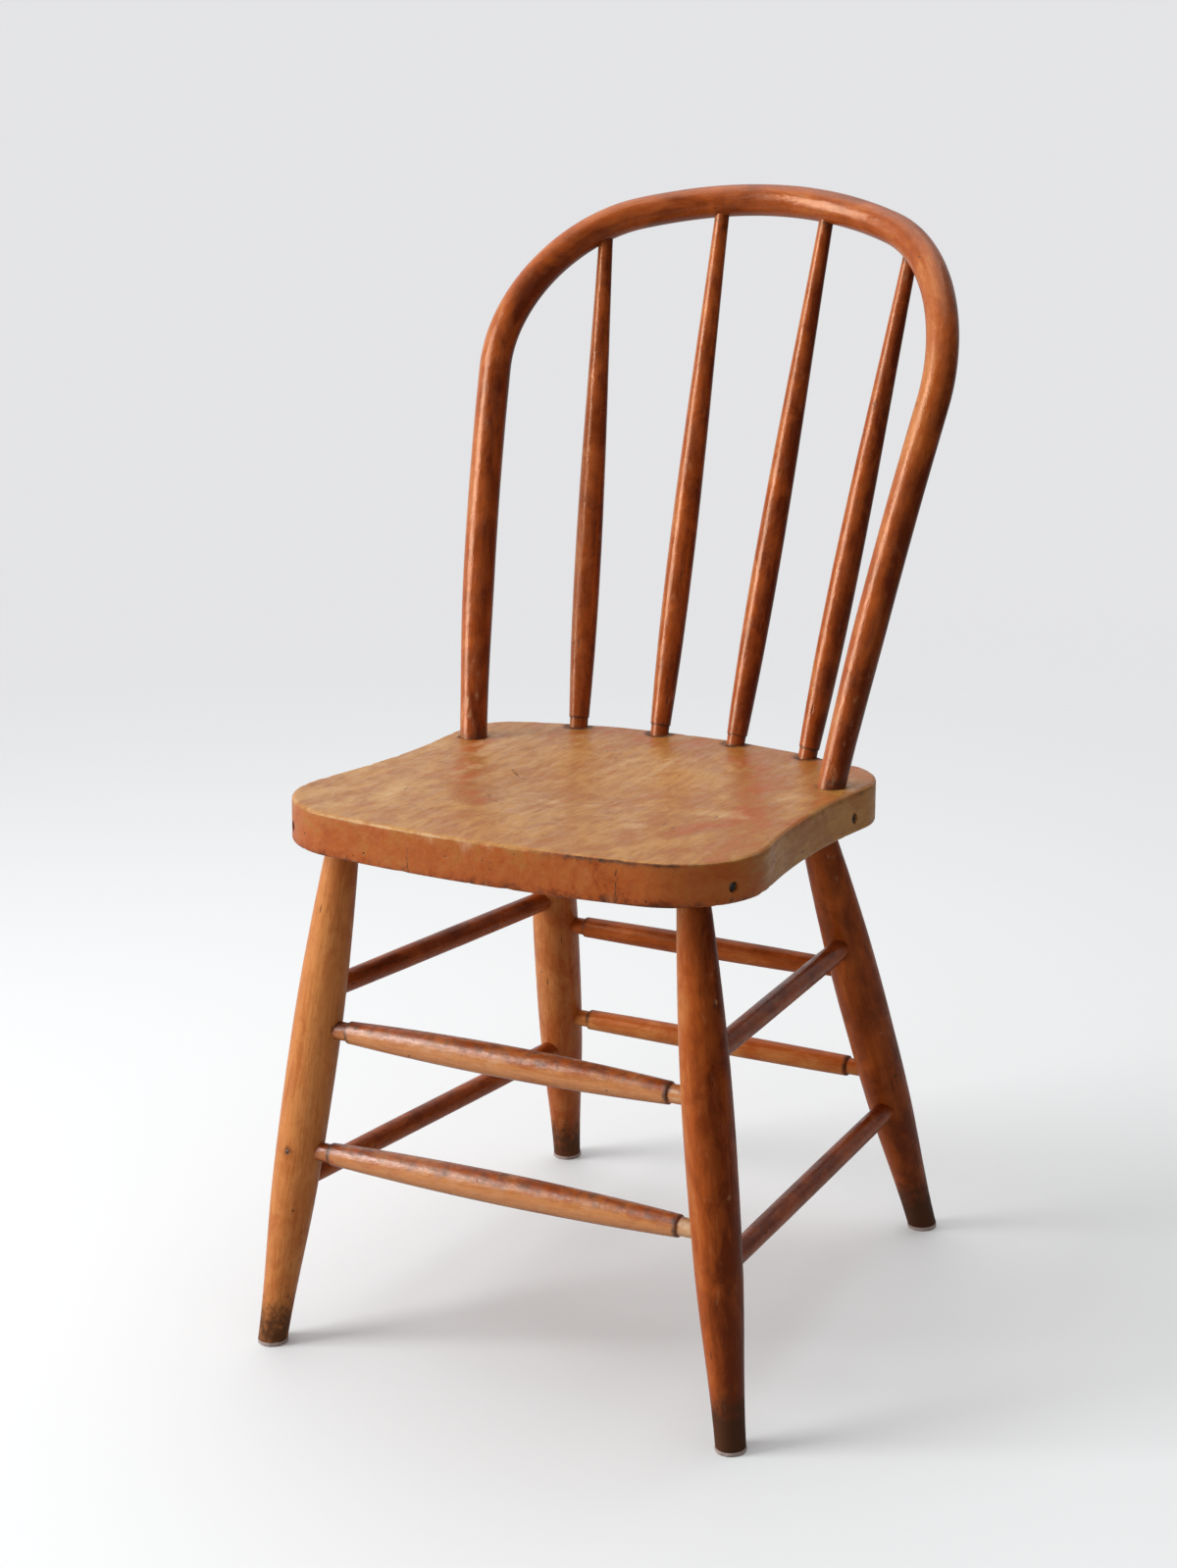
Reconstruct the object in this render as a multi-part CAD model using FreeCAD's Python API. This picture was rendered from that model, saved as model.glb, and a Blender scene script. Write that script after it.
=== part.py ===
import FreeCAD, Part
import math
import os

# A hoop-back kitchen chair of turned and bent hardwood, in millimetres, +Z up.
# The chair faces -Y, and left and right are as seen from the front.
# Places are measured from the floor point under the middle of the seat. At the end
# everything is shifted so that the origin lies on the floor under the middle of the chair.

V = FreeCAD.Vector
UP = V(0, 0, 1)
SIDES = {"left": -1, "right": 1}

# Fits
socket_clearance = 0.12      # on the radius, between a tenon and its socket
socket_end_gap = 1.0         # glue room past the end of a tenon
screw_clearance = 0.10       # on the radius of a screw or nail hole

# Seat, glued up from three boards with the grain running front to back
seat_height = 443.4          # top of the seat, at the middle of its depth
seat_fall_deg = 3.6          # the seat falls this much towards the back
seat_thickness = 34.0
seat_depth = 376.0
seat_front_radius = 936.0    # the front edge bows out a little
seat_front_corner = 76.0
seat_waist_half = 184.0      # half the width at the narrowest place
seat_waist_back = 41.5       # how far the narrowest place lies behind the middle
seat_side_hollow = 664.0     # radius of the hollow sides
seat_rear_radius = 457.0
seat_rear_corner = 58.0
seat_top_round = 3.0
seat_bottom_round = 2.0
left_seam = -56.0            # glue joints between the boards, from the centre line
right_seam = 118.0
dish_radius = 152.0          # the shallow round hollow of the seat
dish_depth = 6.0
dish_rim_lip = 0.15          # how far the hollow's rim curve is struck above the seat
dish_back = 6.0              # centre of the hollow, behind the middle of the seat

# Legs, turned, splayed both ways, and driven into blind sockets under the seat. A leg's axis
# meets the underside of the seat inside its edges, and its foot stands out from there.
front_leg_from_side = 32.3   # from the narrowest place of the seat's side
front_leg_from_front = 62.5
front_foot_out = 54.3
front_foot_forward = 56.5
rear_leg_from_side = 63.1
rear_leg_from_rear = 48.5
rear_foot_out = 53.0
rear_foot_back = 107.5
leg_tenon_depth = 22.0
leg_tenon_dia = 25.4
leg_neck_length = 6.0        # below the seat, where a leg is already as thin as its tenon
leg_upper_dia = 33.5
leg_swell_dia = 38.6
leg_lower_dia = 36.0
leg_ankle_dia = 25.6
leg_foot_dia = 23.6
leg_upper_at = 0.17          # places on the leg, as shares of its length from the seat
leg_swell_from = 0.34
leg_swell_to = 0.56
leg_lower_at = 0.70
leg_ankle_at = 0.92

# Floor pads stuck under the feet
pad_dia = 25.8
pad_thickness = 3.4
pad_round = 0.8

# Stretchers. The front and rear ones are named by the height of their axes over the floor.
# The side ones are set from them, so that their tenons pass in the legs: the upper side
# stretchers run above their neighbours and the lower ones below.
front_upper_height = 264.0
front_lower_height = 164.0
rear_upper_height = 249.0
rear_lower_height = 153.0
side_over_front_upper = 29.0
side_over_rear_upper = 26.5
side_under_front_lower = 28.5
side_under_rear_lower = 32.8
tenon_past_axis = 5.0        # a stretcher's tenon ends this far past the leg's axis
front_stretcher_dia = 25.4   # at the middle of its swell
front_shoulder_dia = 18.0
front_neck_dia = 15.0
rear_stretcher_dia = 19.0
rear_shoulder_dia = 17.4
rear_neck_dia = 14.2
side_stretcher_dia = 18.0
side_end_dia = 17.4
shoulder_to_axis = 30.0      # from a leg's axis to the shoulder of a stretcher
shoulder_round = 1.0

# Bow, a round rod bent into a hoop. Seen from the front it is two straight splayed posts,
# two shoulder arcs and a flat crown arc. Seen from the side it leans back.
bow_dia = 26.3
bow_foot_dia = 22.6
bow_taper_height = 130.0     # the posts thin out towards the feet below this height
bow_foot_from_side = 21.5    # from the narrowest place of the seat's side
bow_foot_from_rear = 97.4
bow_tenon_depth = 24.0
bow_height = 414.5           # from the seat at the feet to the middle of the crown
bow_splay_deg = 7.0
bow_shoulder_radius = 106.6
bow_crown_radius = 531.0
bow_lean = 0.356             # backward lean at the seat, as a slope
bow_back_radius = 1388.9     # from there it bends further back, along this radius
bow_plan_radius = 355.0      # seen from above, the hoop wraps round the sitter's back
bow_sections = 24            # round sections that each half of the bow is drawn through

# Spindles, turned, standing in a curved row
spindle_pitch = 70.4
spindle_row_from_rear = 9.1
spindle_row_radius = 447.0
inner_spindle_top_x = 48.0
outer_spindle_top_x = 139.5
spindle_tenon_depth = 18.0
spindle_neck_dia = 15.4
spindle_neck_height = 7.0    # bare neck between the seat and the shoulder
spindle_shoulder_dia = 16.8
spindle_swell_dia = 22.0
spindle_upper_dia = 16.4
spindle_tip_dia = 12.2
spindle_swell_at = 0.37      # places on the spindle, as shares of its length
spindle_upper_at = 0.76
spindle_tip_length = 4.0     # the last stretch under the bow is as thin as its tenon
spindle_top_tenon = 9.0      # how deep the tip goes into the bow

# Screws in the edge of the seat, two into the front legs and two into the feet of the bow
screw_head_dia = 7.0
screw_shank_dia = 4.0
screw_point_dia = 1.0
screw_head_height = 2.6
screw_slot_width = 1.0
screw_slot_depth = 1.2
screw_recess = 0.8
screw_below_top = 21.5
leg_screw_length = 48.0
bow_screw_length = 32.0
leg_screw_angle_left = 43.0  # round the front corner, from the side of the seat
leg_screw_angle_right = 26.0

# One nail from the front through the left front leg into the lower stretcher's tenon
nail_head_dia = 4.0
nail_head_height = 0.8
nail_shank_dia = 1.8
nail_length = 30.0
nail_above_tenon = 3.0

# Places on the seat, worked out from its edges
front_leg_top_x = seat_waist_half - front_leg_from_side
front_leg_top_y = front_leg_from_front - seat_depth / 2
rear_leg_top_x = seat_waist_half - rear_leg_from_side
rear_leg_top_y = seat_depth / 2 - rear_leg_from_rear
front_foot_x = front_leg_top_x + front_foot_out
front_foot_y = front_leg_top_y - front_foot_forward
rear_foot_x = rear_leg_top_x + rear_foot_out
rear_foot_y = rear_leg_top_y + rear_foot_back
bow_foot_x = seat_waist_half - bow_foot_from_side
bow_foot_y = seat_depth / 2 - bow_foot_from_rear
spindle_row_back = seat_depth / 2 - spindle_row_from_rear


def seat_top_z(y):
    """Height of the flat top of the seat over the floor at depth y."""
    return seat_height - math.tan(math.radians(seat_fall_deg)) * y


def seat_bottom_z(y):
    return seat_top_z(y) - seat_thickness / math.cos(math.radians(seat_fall_deg))


def along(start, end, distance):
    """The point at a distance from start on the line towards end."""
    return start + (end - start).normalize() * distance


def upright_on(shape, base, direction):
    """Stand a shape that was made round +Z on a base point, along a direction."""
    placed = shape.copy()
    placed.Placement = FreeCAD.Placement(base, FreeCAD.Rotation(UP, direction))
    return placed


def rod(start, end, diameter):
    return Part.makeCylinder(diameter / 2, (end - start).Length, start, end - start)


def turned(stations, smooth):
    """Turn a solid round +Z from (height, diameter) stations, with a smooth or a straight side."""
    points = [V(diameter / 2, 0, height) for height, diameter in stations]
    if smooth:
        curve = Part.BSplineCurve()
        curve.interpolate(points)
        side = [curve.toShape()]
    else:
        side = [Part.makeLine(a, b) for a, b in zip(points, points[1:])]
    low = V(0, 0, stations[0][0])
    high = V(0, 0, stations[-1][0])
    edges = [Part.makeLine(low, points[0])] + side
    edges += [Part.makeLine(points[-1], high), Part.makeLine(high, low)]
    return Part.Face(Part.Wire(edges)).revolve(V(), UP, 360)


def joined(pieces):
    """Fuse coaxial lengths of one turned piece."""
    return pieces[0].multiFuse(pieces[1:]).removeSplitter().Solids[0]


def hollowed(shape, tools):
    return shape.cut(tools).Solids[0]


def circle_meeting(centre_a, reach_a, centre_b, reach_b, side):
    """Where two circles cross, on the given side of the line from a to b."""
    line = centre_b - centre_a
    distance = line.Length
    foot = (reach_a ** 2 - reach_b ** 2 + distance ** 2) / (2 * distance)
    height = math.sqrt(reach_a ** 2 - foot ** 2)
    line.normalize()
    return centre_a + line * foot + V(-line.y, line.x, 0) * height * side


def seat_outline_circles():
    """Centres of the right half outline's circles: front, side and rear, and its two corners."""
    front = V(0, seat_front_radius - seat_depth / 2, 0)
    side = V(seat_waist_half + seat_side_hollow, seat_waist_back, 0)
    rear = V(0, seat_depth / 2 - seat_rear_radius, 0)
    front_corner = circle_meeting(front, seat_front_radius - seat_front_corner,
                                  side, seat_side_hollow + seat_front_corner, -1)
    rear_corner = circle_meeting(rear, seat_rear_radius - seat_rear_corner,
                                 side, seat_side_hollow + seat_rear_corner, 1)
    return front, side, rear, front_corner, rear_corner


def arc_between(centre, radius, start, end):
    """The short arc from start to end round a centre."""
    middle = ((start - centre) + (end - centre)).normalize() * radius + centre
    return Part.Arc(start, middle, end).toShape()


def mirrored(shape):
    return shape.mirror(V(), V(1, 0, 0))


def seat_outline():
    """Closed outline of the seat in its own flat plane, of arcs that run into each other."""
    front, side, rear, front_corner, rear_corner = seat_outline_circles()
    front_middle = V(0, -seat_depth / 2, 0)
    rear_middle = V(0, seat_depth / 2, 0)
    a = along(front, front_corner, seat_front_radius)
    b = along(side, front_corner, seat_side_hollow)
    c = along(side, rear_corner, seat_side_hollow)
    d = along(rear, rear_corner, seat_rear_radius)
    half = [arc_between(front_corner, seat_front_corner, a, b), arc_between(side, seat_side_hollow, b, c),
            arc_between(rear_corner, seat_rear_corner, c, d)]
    left = [mirrored(edge) for edge in half]
    front_edge = Part.Arc(V(-a.x, a.y, 0), front_middle, a).toShape()
    rear_edge = Part.Arc(d, rear_middle, V(-d.x, d.y, 0)).toShape()
    return Part.Wire(Part.sortEdges([front_edge] + half + [rear_edge] + left)[0])


def dish_cutter():
    """The hollow of the seat: a turned form with a bottom arc that eases into a rim arc."""
    drop = dish_depth + dish_rim_lip
    half_run = dish_radius / 2
    arc_radius = (half_run ** 2 + (drop / 2) ** 2) / drop
    bottom = V(0, 0, -dish_depth)
    ease = V(half_run, 0, -dish_depth + drop / 2)
    rim = V(dish_radius, 0, dish_rim_lip)
    turn = math.asin(half_run / arc_radius) / 2
    low = V(arc_radius * math.sin(turn), 0, -dish_depth + arc_radius * (1 - math.cos(turn)))
    high = V(dish_radius - low.x, 0, dish_rim_lip - (low.z + dish_depth))
    top = V(dish_radius, 0, seat_thickness)
    edges = [Part.Arc(bottom, low, ease).toShape(), Part.Arc(ease, high, rim).toShape()]
    edges += [Part.makeLine(rim, top), Part.makeLine(top, V(0, 0, seat_thickness))]
    edges += [Part.makeLine(V(0, 0, seat_thickness), bottom)]
    cutter = Part.Face(Part.Wire(edges)).revolve(V(), UP, 360)
    cutter.translate(V(0, dish_back, 0))
    return cutter


def seat_blank():
    """The whole seat: a slab with rounded edges and a dished top, set at its height and fall."""
    slab = Part.Face(seat_outline()).extrude(V(0, 0, -seat_thickness))
    top = [edge for edge in slab.Edges if edge.BoundBox.ZMin > -seat_thickness / 4]
    slab = slab.makeFillet(seat_top_round, top)
    bottom = [edge for edge in slab.Edges if edge.BoundBox.ZMax < -seat_thickness + seat_bottom_round / 4]
    slab = slab.makeFillet(seat_bottom_round, bottom)
    slab = slab.cut(dish_cutter())
    slab.rotate(V(), V(1, 0, 0), -seat_fall_deg)
    slab.translate(V(0, 0, seat_height))
    return slab


def seat_boards(sockets):
    """Cut the sockets and saw the seat into its three boards."""
    seat = seat_blank().cut(sockets)
    edge = seat_waist_half * 2
    limits = {"left": (-edge, left_seam), "middle": (left_seam, right_seam), "right": (right_seam, edge)}
    boards = {}
    for name, (start, end) in limits.items():
        plank = Part.makeBox(end - start, seat_depth * 2, seat_height * 2, V(start, -seat_depth, 0))
        boards["seat_board_" + name] = seat.common(plank).Solids[0]
    return boards


def leg_axis(end, side):
    """Foot on the floor and top at the underside of the seat, for a front or rear leg."""
    sign = SIDES[side]
    if end == "front":
        foot = V(sign * front_foot_x, front_foot_y, 0)
        top = V(sign * front_leg_top_x, front_leg_top_y, seat_bottom_z(front_leg_top_y))
    else:
        foot = V(sign * rear_foot_x, rear_foot_y, 0)
        top = V(sign * rear_leg_top_x, rear_leg_top_y, seat_bottom_z(rear_leg_top_y))
    return foot, top


def on_leg(end, side, height):
    """The point on a leg's axis at a height over the floor."""
    foot, top = leg_axis(end, side)
    return foot + (top - foot) * (height / top.z)


def leg_blank(end, side):
    """A turned leg with a swelled middle, its foot sawn level on top of the floor pad."""
    foot, top = leg_axis(end, side)
    length = (top - foot).Length
    spare = pad_dia / 2
    stations = [(-spare, leg_foot_dia), (0, leg_foot_dia),
                (length * (1 - leg_ankle_at), leg_ankle_dia), (length * (1 - leg_lower_at), leg_lower_dia),
                (length * (1 - leg_swell_to), leg_swell_dia), (length * (1 - leg_swell_from), leg_swell_dia),
                (length * (1 - leg_upper_at), leg_upper_dia), (length - leg_neck_length, leg_tenon_dia)]
    tenon = [(length - leg_tenon_depth, leg_tenon_dia), (length + leg_tenon_depth, leg_tenon_dia)]
    leg = joined([turned(stations, True), turned(tenon, False)])
    leg = upright_on(leg, foot, top - foot)
    floor_side = Part.makeBox(pad_dia * 4, pad_dia * 4, pad_dia * 2,
                              V(foot.x - pad_dia * 2, foot.y - pad_dia * 2, pad_thickness - pad_dia * 2))
    return leg.cut(floor_side)


def leg_socket(end, side):
    foot, top = leg_axis(end, side)
    direction = (top - foot).normalize()
    bottom = top + direction * (leg_tenon_depth + socket_end_gap)
    return rod(top - direction * leg_tenon_depth, bottom, leg_tenon_dia + 2 * socket_clearance)


def floor_pad(end, side):
    centre = on_leg(end, side, pad_thickness)
    pad = Part.makeCylinder(pad_dia / 2, pad_thickness, V(centre.x, centre.y, 0))
    rim = [edge for edge in pad.Edges if edge.BoundBox.ZMin > pad_thickness / 2]
    return pad.makeFillet(pad_round, rim)


def shouldered_stretcher(start, end, swell_dia, shoulder_dia, neck_dia):
    """A stretcher with a swelled body, square shoulders and necks that run on as tenons."""
    length = (end - start).Length
    body = [(shoulder_to_axis, shoulder_dia), (length / 2, swell_dia),
            (length - shoulder_to_axis, shoulder_dia)]
    neck = [(-tenon_past_axis, neck_dia), (length + tenon_past_axis, neck_dia)]
    barrel = turned(body, True)
    rims = [edge for edge in barrel.Edges
            if edge.BoundBox.ZLength < shoulder_round and edge.Length > shoulder_dia]
    barrel = barrel.makeFillet(shoulder_round, rims)
    return upright_on(joined([barrel, turned(neck, False)]), start, end - start)


def plain_stretcher(start, end):
    """A side stretcher: a rod with a slight swell, driven in at its full end size."""
    length = (end - start).Length
    inner = shoulder_to_axis
    body = [(inner, side_end_dia), (length / 2, side_stretcher_dia), (length - inner, side_end_dia)]
    ends = [(-tenon_past_axis, side_end_dia), (length + tenon_past_axis, side_end_dia)]
    return upright_on(joined([turned(body, True), turned(ends, False)]), start, end - start)


def stretcher_plan():
    """Every stretcher as its two leg ends, its kind and the diameter of its tenons."""
    plan = {}
    for end, level, height in (("front", "upper", front_upper_height), ("front", "lower", front_lower_height),
                               ("rear", "upper", rear_upper_height), ("rear", "lower", rear_lower_height)):
        ends = [(end, "left", height), (end, "right", height)]
        plan[f"stretcher_{end}_{level}"] = (ends, end)
    for side in SIDES:
        upper = [("front", side, front_upper_height + side_over_front_upper),
                 ("rear", side, rear_upper_height + side_over_rear_upper)]
        lower = [("front", side, front_lower_height - side_under_front_lower),
                 ("rear", side, rear_lower_height - side_under_rear_lower)]
        plan[f"stretcher_{side}_upper"] = (upper, "side")
        plan[f"stretcher_{side}_lower"] = (lower, "side")
    return plan


TENON_DIA = {"front": front_neck_dia, "rear": rear_neck_dia, "side": side_end_dia}


def stretcher(ends, kind):
    start, end = [on_leg(*place) for place in ends]
    if kind == "front":
        return shouldered_stretcher(start, end, front_stretcher_dia, front_shoulder_dia, front_neck_dia)
    if kind == "rear":
        return shouldered_stretcher(start, end, rear_stretcher_dia, rear_shoulder_dia, rear_neck_dia)
    return plain_stretcher(start, end)


def stretcher_sockets(end, side):
    """The blind holes that the stretchers need in one leg."""
    tools = []
    for ends, kind in stretcher_plan().values():
        for here, there in (ends, ends[::-1]):
            if here[:2] == (end, side):
                axis = on_leg(*here)
                away = (axis - on_leg(*there)).normalize()
                bottom = axis + away * (tenon_past_axis + socket_end_gap)
                tools.append(rod(axis - away * leg_swell_dia, bottom, TENON_DIA[kind] + 2 * socket_clearance))
    return tools


def bow_front_view():
    """Right half of the bow seen from the front: foot, shoulder start and end, and arc centres.

    Each is (distance from the centre line, height over the seat at the feet).
    """
    splay = math.radians(bow_splay_deg)
    foot = V(bow_foot_x, 0, 0)
    post = V(math.sin(splay), math.cos(splay), 0)
    inward = V(-post.y, post.x, 0)
    crown_centre = V(0, bow_height - bow_crown_radius, 0)
    offset = foot + inward * bow_shoulder_radius - crown_centre
    spread = bow_crown_radius - bow_shoulder_radius
    lean_in = offset.dot(post)
    post_length = -lean_in + math.sqrt(lean_in ** 2 - offset.dot(offset) + spread ** 2)
    shoulder_start = foot + post * post_length
    shoulder_centre = shoulder_start + inward * bow_shoulder_radius
    shoulder_end = along(crown_centre, shoulder_centre, bow_crown_radius)
    return foot, shoulder_start, shoulder_centre, shoulder_end, crown_centre


def arc_points(centre, start, end, steps):
    """Points round an arc, without its start."""
    a = math.atan2(start.y - centre.y, start.x - centre.x)
    b = math.atan2(end.y - centre.y, end.x - centre.x)
    radius = (start - centre).Length
    turns = [a + (b - a) * i / steps for i in range(1, steps + 1)]
    return [centre + V(math.cos(t), math.sin(t), 0) * radius for t in turns]


def bow_in_space(flat):
    """Lean and wrap a point of the front view back to its place on the chair."""
    height = flat.y
    wrap = (bow_foot_x ** 2 - flat.x ** 2) / (2 * bow_plan_radius)
    y = bow_foot_y + bow_lean * height + height ** 2 / (2 * bow_back_radius) + wrap
    return V(flat.x, y, seat_top_z(bow_foot_y) + height)


def bow_half_points():
    """Centre line of the right half of the bow, from its foot on the seat to the crown."""
    foot, shoulder_start, shoulder_centre, shoulder_end, crown_centre = bow_front_view()
    post_steps, shoulder_steps, crown_steps = 6, 6, 4
    flat = [foot + (shoulder_start - foot) * (i / post_steps) for i in range(post_steps + 1)]
    flat += arc_points(shoulder_centre, shoulder_start, shoulder_end, shoulder_steps)
    flat += arc_points(crown_centre, shoulder_end, V(0, bow_height, 0), crown_steps)
    return [bow_in_space(point) for point in flat]


def bow_curve():
    half = bow_half_points()
    left = [V(-p.x, p.y, p.z) for p in half[:-1]]
    curve = Part.BSplineCurve()
    curve.interpolate(half + left[::-1])
    return curve


def bow_foot_axis(side):
    """Where the bow's foot meets the seat, and the direction up the post."""
    curve = bow_curve()
    foot = curve.value(curve.FirstParameter)
    direction = curve.tangent(curve.FirstParameter)[0]
    sign = SIDES[side]
    return V(foot.x * sign, foot.y, foot.z), V(direction.x * sign, direction.y, direction.z)


def bow_section(centre, direction, diameter):
    """A round section of the bow in four quarters, square to its centre line."""
    across = direction.cross(V(0, 1, 0)).normalize()
    back = direction.cross(across)
    reach = diameter / 2
    quarters = []
    for i in range(4):
        a, middle, b = [centre + across * math.cos(t) * reach + back * math.sin(t) * reach
                        for t in (math.pi / 2 * i, math.pi / 2 * (i + 0.5), math.pi / 2 * (i + 1))]
        quarters.append(Part.Arc(a, middle, b).toShape())
    return Part.Wire(quarters)


def bow_diameter(height):
    """The bow thins out smoothly towards its feet."""
    share = min(max(height / bow_taper_height, 0), 1)
    ease = share * share * (3 - 2 * share)
    return bow_foot_dia + (bow_dia - bow_foot_dia) * ease


def bow_blank():
    """The bow is a lofted half and its mirror image, with a tenon run on from each foot."""
    curve = bow_curve()
    first, last = curve.FirstParameter, curve.LastParameter
    seat = seat_top_z(bow_foot_y)
    sections = []
    for i in range(bow_sections + 1):
        t = first + (last - first) / 2 * i / bow_sections
        centre = curve.value(t)
        sections.append(bow_section(centre, curve.tangent(t)[0], bow_diameter(centre.z - seat)))
    half = Part.makeLoft(sections, True, False)
    tenons = [rod(foot, foot - up * bow_tenon_depth, bow_foot_dia)
              for foot, up in (bow_foot_axis(side) for side in SIDES)]
    return half.multiFuse([mirrored(half)] + tenons).Solids[0]


def bow_socket(side):
    foot, up = bow_foot_axis(side)
    bottom = foot - up * (bow_tenon_depth + socket_end_gap)
    return rod(foot + up * bow_foot_dia, bottom, bow_foot_dia + 2 * socket_clearance)


def bow_point_over(x):
    """The point of the bow's centre line above a distance from the middle of the chair."""
    curve = bow_curve()
    low = (curve.FirstParameter + curve.LastParameter) / 2
    high = curve.parameter(bow_in_space(bow_front_view()[1]))
    for _ in range(40):
        middle = (low + high) / 2
        if curve.value(middle).x > abs(x):
            high = middle
        else:
            low = middle
    point = curve.value(low)
    return V(math.copysign(point.x, x), point.y, point.z)


def spindle_axis(place, side):
    """Foot on the seat and top at the bow's centre line, for an inner or outer spindle."""
    sign = SIDES[side]
    pitches, top_x = {"inner": (0.5, inner_spindle_top_x), "outer": (1.5, outer_spindle_top_x)}[place]
    x = spindle_pitch * pitches
    y = spindle_row_back - x ** 2 / (2 * spindle_row_radius)
    return V(sign * x, y, seat_top_z(y)), bow_point_over(sign * top_x)


def spindle(place, side):
    """A turned spindle, swelled low down, with a bare neck at the seat and a thin tip in the bow."""
    foot, bow_centre = spindle_axis(place, side)
    length = (bow_centre - foot).Length - bow_dia / 2
    body = [(spindle_neck_height, spindle_shoulder_dia), (length * spindle_swell_at, spindle_swell_dia),
            (length * spindle_upper_at, spindle_upper_dia), (length - spindle_tip_length, spindle_tip_dia)]
    neck = [(-spindle_tenon_depth, spindle_neck_dia), (spindle_neck_height * 2, spindle_neck_dia)]
    tip = [(length - spindle_tip_length, spindle_tip_dia), (length + spindle_top_tenon, spindle_tip_dia)]
    piece = joined([turned(body, True), turned(neck, False), turned(tip, False)])
    return upright_on(piece, foot, bow_centre - foot)


def spindle_seat_socket(place, side):
    foot, top = spindle_axis(place, side)
    up = (top - foot).normalize()
    bottom = foot - up * (spindle_tenon_depth + socket_end_gap)
    return rod(foot + up * spindle_tenon_depth, bottom, spindle_neck_dia + 2 * socket_clearance)


def spindle_bow_socket(place, side):
    foot, bow_centre = spindle_axis(place, side)
    down = (foot - bow_centre).normalize()
    bottom = bow_centre + down * (bow_dia / 2 - spindle_top_tenon - socket_end_gap)
    return rod(bottom, bow_centre + down * bow_dia, spindle_tip_dia + 2 * socket_clearance)


def screw_solid(length, grow, reach):
    """A countersunk screw round +Z with its head up at zero, or with grow and reach its hole."""
    head = screw_head_dia + 2 * grow
    shank = screw_shank_dia + 2 * grow
    point = screw_shank_dia
    stations = [(-length - grow, screw_point_dia + 2 * grow), (-length + point, shank),
                (-screw_head_height, shank), (0, head)]
    if reach:
        stations.append((reach, head))
    return turned(stations, False)


def slotted_screw(length):
    slot = Part.makeBox(screw_head_dia * 2, screw_slot_width, screw_slot_depth * 2,
                        V(-screw_head_dia, -screw_slot_width / 2, -screw_slot_depth))
    return screw_solid(length, 0, 0).cut(slot)


def screw_places():
    """Head centre, outward direction and length of each screw in the edge of the seat."""
    corner = seat_outline_circles()[3]
    angles = {"left": leg_screw_angle_left, "right": leg_screw_angle_right}
    places = []
    for side, sign in SIDES.items():
        angle = math.radians(angles[side])
        edge = corner + V(math.cos(angle), -math.sin(angle), 0) * seat_front_corner
        z = seat_top_z(edge.y) - screw_below_top
        target = on_leg("front", side, z)
        places.append((V(sign * edge.x, edge.y, z), V(target.x, target.y, z), leg_screw_length))
        foot, up = bow_foot_axis(side)
        deep = foot - up * (screw_below_top / up.z)
        rise = deep.y - seat_waist_back
        edge_x = seat_waist_half + seat_side_hollow - math.sqrt(seat_side_hollow ** 2 - rise ** 2)
        places.append((V(sign * edge_x, deep.y, deep.z), deep, bow_screw_length))
    return [(along(edge, inside, screw_recess), (edge - inside).normalize(), length)
            for edge, inside, length in places]


def seat_screws():
    return [upright_on(slotted_screw(length), head, out) for head, out, length in screw_places()]


def seat_screw_holes():
    return [upright_on(screw_solid(length, screw_clearance, seat_thickness / 2), head, out)
            for head, out, length in screw_places()]


def nail_place():
    """The nail's head on the front of the left front leg, and the way it points out."""
    tenon = on_leg("front", "left", front_lower_height + nail_above_tenon)
    return tenon - V(0, leg_swell_dia / 2, 0), V(0, -1, 0)


def nail_solid(grow, reach):
    shank = nail_shank_dia + 2 * grow
    head = nail_head_dia + 2 * grow
    stations = [(-nail_length - grow, shank), (-nail_head_height - grow, shank),
                (-nail_head_height - grow, head), (reach, head)]
    return upright_on(turned(stations, False), *nail_place())


def build():
    """Every piece by name, each a solid or a list of like solids."""
    ends = [(end, side) for end in ("front", "rear") for side in SIDES]
    rows = [(place, side) for place in ("inner", "outer") for side in SIDES]
    holes = seat_screw_holes()
    nail_hole = nail_solid(screw_clearance, nail_head_dia)

    pieces = {}
    sockets = [leg_socket(*leg) for leg in ends]
    sockets += [bow_socket(side) for side in SIDES]
    sockets += [spindle_seat_socket(*row) for row in rows]
    pieces.update(seat_boards(sockets + holes))
    for leg in ends:
        name = "_".join(leg)
        pieces["leg_" + name] = hollowed(leg_blank(*leg), stretcher_sockets(*leg) + holes + [nail_hole])
        pieces["floor_pad_" + name] = floor_pad(*leg)
    for name, (places, kind) in stretcher_plan().items():
        pieces[name] = stretcher(places, kind)
    pieces["stretcher_front_lower"] = hollowed(pieces["stretcher_front_lower"], [nail_hole])
    bow_sockets = [spindle_bow_socket(*row) for row in rows]
    pieces["bow"] = hollowed(bow_blank(), bow_sockets + holes)
    for row in rows:
        pieces["spindle_" + "_".join(row)] = spindle(*row)
    pieces["seat_edge_screws"] = Part.makeCompound(seat_screws())
    pieces["stretcher_nail"] = nail_solid(0, 0)
    return pieces


def export(pieces):
    """Put the origin on the floor under the middle of the chair, and write each piece."""
    os.makedirs("parts", exist_ok=True)
    box = Part.makeCompound(list(pieces.values())).optimalBoundingBox(False, False)
    for name, shape in pieces.items():
        shape.translate(V(-box.Center.x, -box.Center.y, 0))
        shape.exportStep(f"parts/{name}.step")
        print(f"{name}: {len(shape.Solids)} solid, {shape.Volume / 1000:.1f} cm3, valid {shape.isValid()}")
    print(f"overall {box.XLength:.2f} x {box.YLength:.2f} x {box.ZMax:.2f}, middle at y {box.Center.y:.3f}")


export(build())
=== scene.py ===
import math
from contextlib import contextmanager
from functools import reduce

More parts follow.
